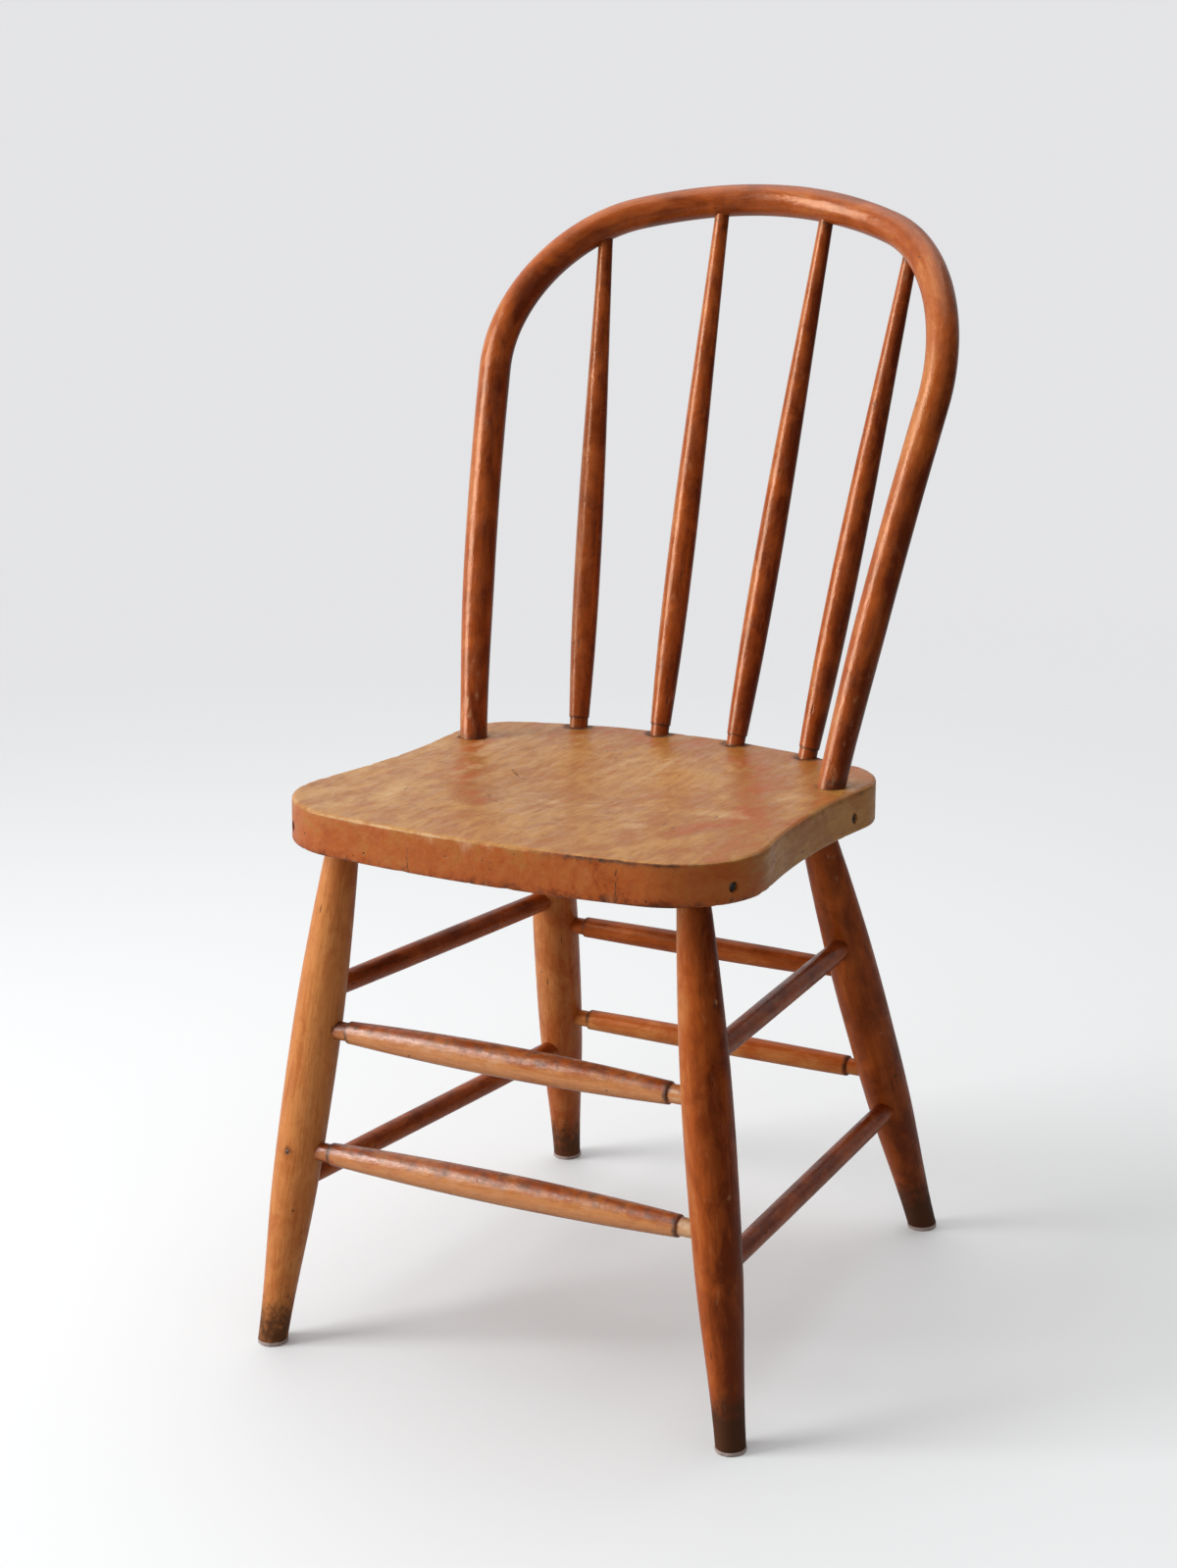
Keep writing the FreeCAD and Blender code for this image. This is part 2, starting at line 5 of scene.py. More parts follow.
import bmesh
import bpy
import numpy as np
from bpy.props import FloatProperty, FloatVectorProperty, IntProperty, PointerProperty
from mathutils import Matrix, Vector, geometry
from mathutils.bvhtree import BVHTree


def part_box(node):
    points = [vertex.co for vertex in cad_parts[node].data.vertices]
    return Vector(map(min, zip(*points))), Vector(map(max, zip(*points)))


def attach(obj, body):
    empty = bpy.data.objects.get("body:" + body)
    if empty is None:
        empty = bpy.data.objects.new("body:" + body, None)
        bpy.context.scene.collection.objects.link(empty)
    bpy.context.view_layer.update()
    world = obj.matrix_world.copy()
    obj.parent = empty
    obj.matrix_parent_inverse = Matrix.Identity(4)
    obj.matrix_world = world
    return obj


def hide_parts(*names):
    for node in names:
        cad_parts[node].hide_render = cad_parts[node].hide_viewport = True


bl_info = {
    "name": "Hoop-back windsor chair",
    "version": (1, 0, 0),
    "blender": (4, 5, 0),
    "location": "3D View > Sidebar > Chair",
    "description": "Builds a worn hoop-back windsor chair round its packed frame",
    "category": "Add Mesh",
}

# All sizes are in metres. The chair faces -Y, and left and right are as seen from the front.
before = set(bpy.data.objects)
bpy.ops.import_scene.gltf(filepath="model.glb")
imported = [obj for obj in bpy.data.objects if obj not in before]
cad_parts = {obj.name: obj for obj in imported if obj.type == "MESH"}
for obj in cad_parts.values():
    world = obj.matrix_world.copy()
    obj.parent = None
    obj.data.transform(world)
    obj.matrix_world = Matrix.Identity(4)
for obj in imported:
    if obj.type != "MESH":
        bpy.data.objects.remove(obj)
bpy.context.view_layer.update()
SIGN = {"left": -1, "right": 1}
LEGS = [f"{end}_{side}" for end in ("front", "rear") for side in SIGN]
SPINDLES = [(row, side) for row in ("outer", "inner") for side in SIGN]
STRETCHERS = [(place, level) for place in ("front", "rear", "left", "right") for level in ("upper", "lower")]
SEAMS = {"left": -0.056, "right": 0.118}   # the seat's two glue joints
SEAM_ROWS = (-0.0015, -0.0008, -0.0003, 0, 0.0003, 0.0008, 0.0015)   # extra points beside each glue joint
SHARP_TURN = 0.6   # edges that turn by more than about a third of a right angle are not shaded smooth


def length_value(name, description, default):
    return FloatProperty(name=name, description=description, default=default, precision=4,
                         subtype="DISTANCE", unit="LENGTH")


def angle_value(name, description, degrees):
    return FloatProperty(name=name, description=description, default=math.radians(degrees), subtype="ANGLE",
                         unit="ROTATION")


def colour_value(name, description, default):
    return FloatVectorProperty(name=name, description=description, default=default, size=3, min=0, max=1,
                               subtype="COLOR")


class SeatSizes(bpy.types.PropertyGroup):
    """The seat's outline, thickness and hollow."""
    height: length_value("Height", "Top of the seat over the floor at the middle of its depth", 0.4434)
    fall: angle_value("Fall", "How much the seat falls towards the back", 3.6)
    thickness: length_value("Thickness", "Thickness of the boards", 0.034)
    depth: length_value("Depth", "Front to back", 0.376)
    front_radius: length_value("Front radius", "The front edge bows out a little", 0.936)
    front_corner: length_value("Front corner", "Radius of the front corners", 0.076)
    waist_half: length_value("Waist", "Half the width at the narrowest place", 0.184)
    waist_back: length_value("Waist back", "How far the waist lies behind the middle", 0.0415)
    side_hollow: length_value("Side hollow", "Radius of the hollow sides", 0.664)
    rear_radius: length_value("Rear radius", "Radius of the rear edge", 0.457)
    rear_corner: length_value("Rear corner", "Radius of the rear corners", 0.058)
    top_round: length_value("Top arris", "Rounding of the top edge", 0.003)
    bottom_round: length_value("Bottom arris", "Rounding of the bottom edge", 0.002)
    dish_radius: length_value("Dish radius", "Radius of the round hollow", 0.152)
    dish_depth: length_value("Dish depth", "Depth of the round hollow", 0.006)
    dish_lip: length_value("Dish lip", "How far the rim of the hollow is struck above the seat", 0.00015)
    dish_back: length_value("Dish back", "Centre of the hollow behind the middle of the seat", 0.006)
    wave_depth: length_value("Waves", "Depth of the gentle waves in the top", 0.0006)
    knocks: IntProperty(name="Knocks", description="Number of small knocks in the arrises", default=60, min=0)
    knock_seed: IntProperty(name="Knock seed", description="Starts the knocks' random places", default=7)
    mesh_step: length_value("Mesh step", "Distance between the points of the top", 0.003)


class BowSizes(bpy.types.PropertyGroup):
    """The bow as it is bent: seen from the front, its posts, shoulders and crown; from the side, its lean."""
    diameter: length_value("Diameter", "Thickness of the bow", 0.0263)
    foot_diameter: length_value("Foot diameter", "Thickness at the seat", 0.0226)
    taper_height: length_value("Taper height", "The posts thin out below this height", 0.130)
    height: length_value("Height", "From the seat at the feet to the crown", 0.4145)
    splay: angle_value("Splay", "How much each post leans out", 7.0)
    shoulder_radius: length_value("Shoulder radius", "Radius of the shoulders", 0.1066)
    crown_radius: length_value("Crown radius", "Radius of the flat crown", 0.531)
    lean: FloatProperty(name="Lean", description="Backward slope at the seat", default=0.356)
    back_radius: length_value("Back radius", "The bow bends back along this radius", 1.3889)
    plan_radius: length_value("Plan radius", "Seen from above, the bow wraps round the sitter", 0.355)
    tenon: length_value("Tenon", "How deep the feet go into the seat", 0.024)
    foot_x: length_value("Foot to middle", "Half the distance between the feet", 0.1625)
    foot_back: length_value("Foot back", "How far the feet lie behind the middle of the seat", 0.0906)


class StockSizes(bpy.types.PropertyGroup):
    """How the round pieces are made."""
    sides: IntProperty(name="Sides", description="Faces round a turned piece", default=48, min=12)
    longest_step: length_value("Longest step", "Longest face along a turned piece", 0.003)
    unevenness: length_value("Unevenness", "Depth of hand-sanded waves in the surface", 0.00022)


class HardwareSizes(bpy.types.PropertyGroup):
    """Screws and pads."""
    head_radius: length_value("Head radius", "Radius of the screws' heads", 0.0034)
    head_height: length_value("Head height", "Thickness of the screws' heads", 0.0018)
    slot_width: length_value("Slot width", "Width of the screws' slots", 0.0011)
    slot_depth: length_value("Slot depth", "Depth of the screws' slots", 0.0010)
    hole_clearance: length_value("Hole clearance", "Gap round a screw's head", 0.0007)
    hole_reach: length_value("Hole reach", "Depth of a screw's hole, with what sticks out", 0.012)
    pad_margin: length_value("Pad margin", "What a pad is smaller than its place", 0.0001)
    pad_raggedness: length_value("Raggedness", "How far a pad's edge draws in", 0.0008)


class WoodLook(bpy.types.PropertyGroup):
    """Colours of the wood and its old varnish."""
    bare: colour_value("Bare", "Wood with the varnish worn off", (0.66, 0.42, 0.22))
    golden: colour_value("Golden", "Thin, light varnish", (0.62, 0.235, 0.068))
    orange: colour_value("Orange brown", "Varnish of common thickness", (0.40, 0.082, 0.012))
    dark: colour_value("Dark brown", "Thick, old varnish", (0.130, 0.018, 0.003))
    tan: colour_value("Seat tan", "The worn top of the seat", (0.54, 0.252, 0.066))
    honey: colour_value("Honey", "Thin varnish left at the rim of the seat's hollow", (0.42, 0.158, 0.032))
    amber: colour_value("Amber", "Varnish on the edge of the seat", (0.44, 0.112, 0.020))
    grime: colour_value("Grime", "Dirt in joints and at the feet", (0.045, 0.018, 0.009))


class ChairSettings(bpy.types.PropertyGroup):
    """Everything that a user may change."""
    seat: PointerProperty(type=SeatSizes)
    bow: PointerProperty(type=BowSizes)
    stock: PointerProperty(type=StockSizes)
    hardware: PointerProperty(type=HardwareSizes)
    wood: PointerProperty(type=WoodLook)


def settings():
    return bpy.context.scene.windsor_chair


# Reading the frame

def vertex_values(mesh, name="position"):
    """Positions, or another vector attribute, of every point of a mesh."""
    values = np.empty(len(mesh.vertices) * 3)
    mesh.attributes[name].data.foreach_get("vector", values)
    return values.reshape(-1, 3)


def node_mesh(node):
    """Corners and triangles of a frame node."""
    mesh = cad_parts[node].data
    return vertex_values(mesh), [tuple(face.vertices) for face in mesh.polygons]


def middle_of(points):
    return Vector((points.min(0) + points.max(0)) / 2)


def rod_ends(node):
    """Centres of both ends of a turned piece, the lower, left or front one first, and the way it runs."""
    end_band = 0.0005
    level_band = 0.00005
    points = node_mesh(node)[0]
    start = points.mean(0)
    axis = np.linalg.svd(points - start, full_matrices=False)[2][0]
    axis *= np.sign(axis @ (1, 2, 4))
    for _ in range(3):
        reach = (points - start) @ axis
        low = middle_of(points[reach < reach.min() + end_band])
        if node.startswith("leg"):
            low = middle_of(points[points[:, 2] < points[:, 2].min() + level_band])
        high = middle_of(points[reach > reach.max() - end_band])
        start = np.array(low)
        axis = np.array((high - low).normalized())
    return low, high, Vector(axis)


def rod_profile(node, low, high, axis):
    """(distance, radius) pairs along a turned piece. The middle one of many rays skips holes and sockets."""
    step = 0.00025
    rays = 12
    reach = 0.05
    tree = BVHTree.FromPolygons(*node_mesh(node))
    across = axis.orthogonal().normalized()
    length = (high - low).length
    turns = [Matrix.Rotation(2 * math.pi * i / rays, 3, axis) @ across for i in range(rays)]
    profile = []
    count = round(length / step)
    for i in range(count + 1):
        at = min(max(length * i / count, step / 10), length - step / 10)
        hits = [tree.ray_cast(low + axis * at + out * reach, -out, reach)[3] for out in turns]
        found = sorted(reach - hit for hit in hits if hit is not None)
        profile.append((length * i / count, found[len(found) // 2]))
    return profile


def thinned(profile, longest):
    """Keeps only the stations that the shape needs, none further apart than the longest step."""
    tolerance = 0.00002
    (a, radius_a), (b, radius_b) = profile[0], profile[-1]
    if len(profile) < 3:
        return profile
    misses = [abs(radius_a + (radius_b - radius_a) * (at - a) / (b - a) - radius) for at, radius in profile]
    worst = misses.index(max(misses))
    if max(misses) < tolerance:
        if b - a <= longest:
            return [profile[0], profile[-1]]
        worst = len(profile) // 2
    return thinned(profile[:worst + 1], longest)[:-1] + thinned(profile[worst:], longest)


def joint_places():
    """Where each stretcher enters its legs, and where the nail's head is, from their ends in the frame."""
    leg_reach = 0.022
    nail_stain = 0.003
    low, _, axis = rod_ends("stretcher_nail")
    places = [low - axis * nail_stain]
    for place, level in STRETCHERS:
        low, high, axis = rod_ends(f"stretcher_{place}_{level}")
        places += [low + axis * leg_reach, high - axis * leg_reach]
    return places


def screw_places():
    """Middle of each screw's head, the way it faces and its length, from the frame's screws."""
    front_limit = -0.1
    head_band = 0.0004
    points = node_mesh("seat_edge_screws")[0]
    middle = Vector((0, seat_middle(), settings().seat.height))
    places = []
    # The front corners' screws lie in front of the limit, and the bow's screws behind it
    for corner in ((-1, -1), (1, -1), (-1, 1), (1, 1)):
        quarter = np.sign(points[:, :2] - (0, front_limit)) == corner
        mine = points[quarter.all(axis=1)]
        centre = mine.mean(0)
        axis = np.linalg.svd(mine - centre, full_matrices=False)[2][0]
        axis = Vector(axis * np.sign(axis @ (centre - np.array(middle))))
        reach = (mine - centre) @ np.array(axis)
        head = middle_of(mine[reach > reach.max() - head_band])
        places.append((head, axis, float(reach.max() - reach.min())))
    return places


def seat_middle():
    """Where the middle of the seat's depth lies in the frame, from the front of its lower arris."""
    sizes = settings().seat
    front_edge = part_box("seat_board_middle")[0].y
    arris = sizes.bottom_round
    forward = (sizes.depth / 2 - arris) * math.cos(sizes.fall)
    return front_edge + forward + (sizes.thickness - arris) * math.sin(sizes.fall) + arris


def seat_top_height(back):
    sizes = settings().seat
    return sizes.height - math.tan(sizes.fall) * back


def seat_tilt():
    return np.array(Matrix.Rotation(-settings().seat.fall, 3, "X"))


def spindle_feet():
    """Where the spindles meet the seat, from the middle of the seat."""
    feet = []
    for row, side in SPINDLES:
        low, high, _ = rod_ends(f"spindle_{row}_{side}")
        share = (seat_top_height(low.y - seat_middle()) - low.z) / (high - low).z
        at = low.lerp(high, share)
        feet.append((at.x, at.y - seat_middle()))
    return feet


# Node trees

class Tree:
    """Short calls that add and join the nodes of one tree."""

    def __init__(self, tree):
        self.tree = tree

    def add(self, kind, inputs=(), **settings):
        node = self.tree.nodes.new(kind)
        for name, value in settings.items():
            setattr(node, name, value)
        for name, value in dict(inputs).items():
            self.feed(node.inputs[name], value)
        return node

    def get(self, kind, inputs=(), **settings):
        """The first output of a new node."""
        return self.add(kind, inputs, **settings).outputs[0]

    def feed(self, socket, value):
        """Links a socket or sets its value, and leaves it as it is where the value is None."""
        if isinstance(value, bpy.types.NodeSocket):
            self.tree.links.new(value, socket)
        elif value is not None:
            socket.default_value = value

    def calc(self, operation, a, b=None):
        return self.get("ShaderNodeMath", {0: a, 1: b}, operation=operation)

    def times(self, a, b):
        return self.calc("MULTIPLY", a, b)

    def plus(self, a, b):
        return self.calc("ADD", a, b)

    def larger(self, a, b):
        return self.calc("MAXIMUM", a, b)

    def vector_calc(self, operation, a, b=None, scale=None):
        inputs = {0: a, 1: b} if scale is None else {0: a, "Scale": scale}
        node = self.add("ShaderNodeVectorMath", inputs, operation=operation)
        return node.outputs["Value" if operation in ("DOT_PRODUCT", "LENGTH") else "Vector"]

    def combine(self, x=None, y=None, z=None):
        return self.get("ShaderNodeCombineXYZ", {"X": x, "Y": y, "Z": z})

    def split(self, vector):
        return self.add("ShaderNodeSeparateXYZ", {0: vector}).outputs

    def place(self, kind="Object"):
        return self.add("ShaderNodeTexCoord").outputs[kind]

    def ray(self, kind):
        """1 for rays of one kind."""
        return self.add("ShaderNodeLightPath").outputs[f"Is {kind} Ray"]

    def noise(self, vector, scale, detail=4.0, roughness=0.5, distortion=0.0):
        inputs = {"Vector": vector, "Scale": scale, "Detail": detail, "Roughness": roughness,
                  "Distortion": distortion}
        return self.get("ShaderNodeTexNoise", inputs)


class Shape(Tree):
    """A geometry tree with named inputs."""

    def __init__(self, name, values):
        super().__init__(bpy.data.node_groups.new(name, "GeometryNodeTree"))
        for label, kind in {"Geometry": "Geometry", **values, "Material": "Material"}.items():
            self.tree.interface.new_socket(name=label, in_out="INPUT", socket_type="NodeSocket" + kind)
        self.tree.interface.new_socket(name="Geometry", in_out="OUTPUT", socket_type="NodeSocketGeometry")
        self.given = self.add("NodeGroupInput").outputs

    def named(self, name, kind="FLOAT"):
        return self.get("GeometryNodeInputNamedAttribute", {"Name": name}, data_type=kind)

    def store(self, shape, name, value, kind="FLOAT"):
        inputs = {"Geometry": shape, "Name": name, "Value": value}
        return self.get("GeometryNodeStoreNamedAttribute", inputs, data_type=kind)

    def moved(self, shape, way, distance):
        """Moves every point along its way by a distance."""
        offset = self.vector_calc("SCALE", way, scale=distance)
        return self.get("GeometryNodeSetPosition", {"Geometry": shape, "Offset": offset})

    def smooth(self, shape):
        """Shades a shape smooth, but for its sharp edges."""
        shape = self.get("GeometryNodeSetShadeSmooth", {"Geometry": shape, "Shade Smooth": True})
        turn = self.add("GeometryNodeInputMeshEdgeAngle").outputs["Unsigned Angle"]
        sharp = self.get("FunctionNodeCompare", {"A": turn, "B": SHARP_TURN}, operation="GREATER_THAN")
        edges = {"Geometry": shape, "Selection": sharp, "Shade Smooth": False}
        return self.get("GeometryNodeSetShadeSmooth", edges, domain="EDGE")

    def on_points(self, instance, rotation=None):
        """Real copies of an instance on the points that come in."""
        inputs = {"Points": self.given["Geometry"], "Instance": instance, "Rotation": rotation}
        return self.get("GeometryNodeRealizeInstances", {0: self.get("GeometryNodeInstanceOnPoints", inputs)})

    def close(self, shape):
        """Ends the tree with real geometry in its material."""
        shape = self.get("GeometryNodeRealizeInstances", {"Geometry": shape})
        shape = self.get("GeometryNodeSetMaterial", {"Geometry": shape, "Material": self.given["Material"]})
        self.add("NodeGroupOutput", {0: shape})
        return self.tree


class Shader(Tree):
    """A material's nodes."""

    def __init__(self, name):
        self.material = bpy.data.materials.new(name)
        self.material.use_nodes = True
        super().__init__(self.material.node_tree)
        self.surface = self.tree.nodes["Principled BSDF"]

    def attribute(self, name):
        return self.add("ShaderNodeAttribute", attribute_name=name).outputs["Vector"]

    def stretch(self, vector, scale):
        return self.get("ShaderNodeMapping", {"Vector": vector, "Scale": scale})

    def cells(self, vector, scale):
        return self.get("ShaderNodeTexVoronoi", {"Vector": vector, "Scale": scale})

    def span(self, value, low, high, to_low=0.0, to_high=1.0):
        """Takes low to high over to the other pair, smoothly and clamped."""
        inputs = {"Value": value, "From Min": low, "From Max": high, "To Min": to_low, "To Max": to_high}
        return self.get("ShaderNodeMapRange", inputs, interpolation_type="SMOOTHSTEP")

    def mix(self, share, a, b, blend="MIX"):
        a, b = [(*colour, 1) if isinstance(colour, tuple) else colour for colour in (a, b)]
        node = self.add("ShaderNodeMix", {0: share, 6: a, 7: b}, data_type="RGBA", blend_type=blend)
        return node.outputs[2]

    def ramp(self, value, colours):
        """Runs evenly through some colours as the value goes from 0 to 1."""
        node = self.add("ShaderNodeValToRGB", {0: value})
        stops = node.color_ramp.elements
        stops[1].position = 1
        for i in range(1, len(colours) - 1):
            stops.new(i / (len(colours) - 1))
        for stop, colour in zip(stops, colours):
            stop.color = (*colour, 1)
        return node.outputs[0]

    def bump(self, height, distance, strength=1.0, normal=None):
        inputs = {"Height": height, "Distance": distance, "Strength": strength, "Normal": normal}
        return self.get("ShaderNodeBump", inputs)

    def finish(self, values):
        for name, value in values.items():
            self.feed(self.surface.inputs[name], value)
        return self.material


# Materials

def wood_material(name, clouds, mottling, gloss, shine, tones=("golden", "orange", "dark"), run=(1, 1, 0.3)):
    """Old varnished wood. Its grain and finish attributes say where the grain runs and how worn it is.

    finish holds dirt, wear and depth of varnish; on some pieces the depth also carries painted light and
    shade, and the wear painted highlights and sheen. clouds is the scale of the varnish's patches and
    mottling their strength, gloss is its roughness, and shine is the strength and the colour of its
    reflections. tones names the colours of thin to thick varnish, and run stretches the worn spots.
    """
    wood = settings().wood
    bare, grime = tuple(wood.bare), tuple(wood.grime)
    s = Shader(name)
    grain = s.attribute("grain")
    dirt, wear, depth = s.split(s.attribute("finish"))
    fibres = s.noise(s.stretch(grain, (1, 1, 0.05)), 850, 4, 0.6)
    bands = s.noise(s.stretch(grain, (1, 1, 0.10)), 170, 4, 0.6, 0.5)
    patches = s.noise(s.stretch(grain, (1, 1, 0.6)), clouds, 6, 0.66, 0.6)
    spots = s.noise(s.stretch(grain, run), 190, 5, 0.68)
    smears = s.noise(grain, 130, 5, 0.65)
    # Varnish, thicker in patches and bands, with dark fibres and smears
    depth = s.plus(depth, s.span(patches, 0.3, 0.7, -mottling, mottling))
    depth = s.plus(depth, s.span(bands, 0.3, 0.7, -0.08, 0.08))
    colour = s.ramp(depth, [tuple(getattr(wood, tone)) for tone in tones])
    shown = s.times(s.span(fibres, 0.42, 0.70), s.span(depth, 0.1, 0.6, 0.46, 0.16))
    colour = s.mix(shown, colour, (0.62, 0.47, 0.38), "MULTIPLY")
    colour = s.mix(s.span(smears, 0.45, 0.75, 0, 0.30), colour, (0.62, 0.50, 0.45), "MULTIPLY")
    # Bare wood and dirt, both with broken edges
    worn = s.span(s.plus(wear, s.span(spots, 0.2, 0.8, -0.4, 0.4)), 0.20, 0.85)
    colour = s.mix(s.times(worn, 0.85), colour, bare)
    soiled = s.span(s.calc("SUBTRACT", dirt, s.span(smears, 0.2, 0.8, -0.28, 0.28)), 0.20, 0.86)
    colour = s.mix(s.times(soiled, 0.9), colour, grime)
    # Dark dashes along the grain and dots, here and there
    dashes = s.span(s.cells(s.stretch(grain, (1, 1, 0.2)), 120), 0.13, 0.06)
    dashes = s.times(dashes, s.span(s.noise(grain, 33, 2), 0.50, 0.58))
    dots = s.span(s.cells(grain, 55), 0.075, 0.045)
    dots = s.times(dots, s.span(s.noise(grain, 19, 1), 0.54, 0.58))
    marks = s.larger(s.times(dashes, 0.8), dots)
    colour = s.mix(s.times(marks, 0.85), colour, grime)
    drawn_out = s.stretch(grain, (1, 1, 0.4))
    roughness = s.span(s.noise(drawn_out, 120, 4, 0.65), 0.3, 0.7, gloss - 0.06, gloss + 0.12)
    duller = s.times(s.larger(worn, soiled), 0.25)
    skin = s.bump(shown, 0.00012, 0.5)
    skin = s.bump(s.noise(drawn_out, 200, 5, 0.60), 0.0006, 0.8, skin)
    skin = s.bump(marks, -0.0004, 0.6, skin)
    return s.finish({"Base Color": colour, "Roughness": s.plus(roughness, duller), "Normal": skin,
                     "Specular IOR Level": shine[0], "Specular Tint": (*shine[1:], 1)})


def varnished(name, *look, **more):
    """The wood material of that name, made at its first use."""
    return bpy.data.materials.get(name) or wood_material(name, *look, **more)


def steel_material():
    """Dull, dark screw steel with traces of rust."""
    s = Shader("old_steel")
    rust = s.span(s.noise(s.place(), 700, 4, 0.7), 0.48, 0.62)
    colour = s.mix(rust, (0.16, 0.155, 0.15), (0.07, 0.035, 0.018))
    return s.finish({"Base Color": colour, "Metallic": 0.85, "Roughness": s.span(rust, 0, 1, 0.42, 0.75),
                     "Normal": s.bump(s.noise(s.place(), 1800, 3), 0.00008, 0.6)})


def pad_material():
    """Grey-pink felt, dirty in places."""
    s = Shader("worn_felt")
    hairs = s.noise(s.place(), 2600, 4, 0.7, 1.5)
    dirt = s.span(s.noise(s.place(), 260, 4, 0.6), 0.45, 0.70, 0, 0.7)
    colour = s.mix(s.span(hairs, 0.3, 0.7), (0.30, 0.22, 0.19), (0.52, 0.41, 0.37))
    colour = s.mix(dirt, colour, (0.24, 0.17, 0.14))
    return s.finish({"Base Color": colour, "Roughness": 0.95, "Normal": s.bump(hairs, 0.0003, 0.8),
                     "Sheen Weight": 0.3})


def shared(kept, name, build):
    """The material or node tree of that name, built at its first use."""
    return kept.get(name) or build()


# Meshes

def linked(name, mesh):
    """A new object in the scene that holds a mesh."""
    piece = bpy.data.objects.new(name, mesh)
    bpy.context.scene.collection.objects.link(piece)
    return piece


def points_object(name, places, edges=(), **values):
    """An object of points that carry numbers or vectors."""
    mesh = bpy.data.meshes.new(name)
    mesh.from_pydata([tuple(place) for place in places], edges, [])
    for label, numbers in values.items():
        if np.ndim(numbers) == 1:
            mesh.attributes.new(label, "FLOAT", "POINT").data.foreach_set("value", numbers)
        else:
            store_vector(mesh, label, numbers)
    return linked(name, mesh)


def evaluated_mesh(piece):
    """A plain mesh of a piece with its modifiers run."""
    graph = bpy.context.evaluated_depsgraph_get()
    return bpy.data.meshes.new_from_object(piece.evaluated_get(graph), preserve_all_data_layers=True,
                                           depsgraph=graph)


def grown(piece, tree, **values):
    """Runs a geometry tree on a piece, and keeps the result as its plain mesh."""
    modifier = piece.modifiers.new("shape", "NODES")
    modifier.node_group = tree
    for socket in tree.interface.items_tree:
        key = socket.name.lower().replace(" ", "_")
        if socket.in_out == "INPUT" and key in values:
            modifier[socket.identifier] = values[key]
    mesh = evaluated_mesh(piece)
    piece.modifiers.clear()
    old, piece.data = piece.data, mesh
    bpy.data.meshes.remove(old)
    mesh.name = piece.name
    return piece


def store_vector(mesh, name, values):
    layer = mesh.attributes.get(name) or mesh.attributes.new(name, "FLOAT_VECTOR", "POINT")
    layer.data.foreach_set("vector", np.asarray(values, dtype=np.float32).ravel())


def store_finish(mesh, dirt, wear, depth):
    """Stores dirt, wear and depth of varnish, each one number or one for every point. On some pieces the
    depth also holds painted light and shade, and the wear painted highlights and sheen.
    """
    whole = np.zeros(len(mesh.vertices))
    store_vector(mesh, "finish", np.stack([dirt + whole, wear + whole, depth + whole], axis=1))


def eased(value, low, high):
    """0 at low, 1 at high, smooth between, for arrays and for low above high."""
    share = np.clip((value - low) / (high - low), 0, 1)
    return share * share * (3 - 2 * share)


def most(*values):
    """The largest of some values at every point."""
    return reduce(np.maximum, values)


def nearness(points, places, radius):
    """How near each point is to the nearest of some places, 1 at a place and 0 at a radius from it."""
    distances = [np.linalg.norm(points - np.array(place), axis=1) for place in places]
    return eased(np.min(distances, axis=0), radius, 0)


def outward(piece):
    """The way that each point of a piece faces: to the right, back and up."""
    return np.array([vertex.normal[:] for vertex in piece.data.vertices]).T


@contextmanager
def worked(mesh):
    """Opens a mesh for modelling, and stores the result in it."""
    work = bmesh.new()
    work.from_mesh(mesh)
    yield work
    work.to_mesh(mesh)
    work.free()


def saw(work, place, way, snap=0.0):
    """Cuts off what lies beyond a plane, closes the cut and gives its new faces."""
    parts = work.verts[:] + work.edges[:] + work.faces[:]
    cut = bmesh.ops.bisect_plane(work, geom=parts, dist=snap, plane_co=place, plane_no=way, clear_outer=True)
    edges = [part for part in cut["geom_cut"] if isinstance(part, bmesh.types.BMEdge)]
    return bmesh.ops.contextual_create(work, geom=edges)["faces"]


def hand_over(piece, node):
    """Lets a finished piece stand for its frame node."""
    piece["node"] = node
    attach(piece, "root")
    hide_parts(node)


# Round pieces

def round_stock_tree():
    """Sweeps a circle along a line whose points carry a radius, and makes the surface slightly uneven."""
    t = Shape("round_stock", {"Sides": "Int", "Unevenness": "Float", "Grain shift": "Vector"})
    line = t.get("GeometryNodeMeshToCurve", {"Mesh": t.given["Geometry"]})
    line = t.store(line, "along", t.add("GeometryNodeSplineParameter").outputs["Length"])
    rim = t.get("GeometryNodeCurvePrimitiveCircle", {"Resolution": t.given["Sides"], "Radius": 1.0})
    rim = t.store(rim, "rim", t.get("GeometryNodeInputPosition"), "FLOAT_VECTOR")
    radius = t.named("radius_here")
    rod = t.get("GeometryNodeCurveToMesh", {"Curve": line, "Profile Curve": rim, "Scale": radius,
                                            "Fill Caps": True})
    across = t.vector_calc("SCALE", t.named("rim", "FLOAT_VECTOR"), scale=radius)
    grain = t.vector_calc("ADD", across, t.combine(z=t.named("along")))
    grain = t.vector_calc("ADD", grain, t.given["Grain shift"])
    rod = t.store(rod, "grain", grain, "FLOAT_VECTOR")
    waves = t.noise(t.vector_calc("MULTIPLY", grain, (1, 1, 0.3)), 75, 3)
    inward = t.times(t.times(waves, t.given["Unevenness"]), -1.0)
    return t.close(t.smooth(t.moved(rod, t.get("GeometryNodeInputNormal"), inward)))


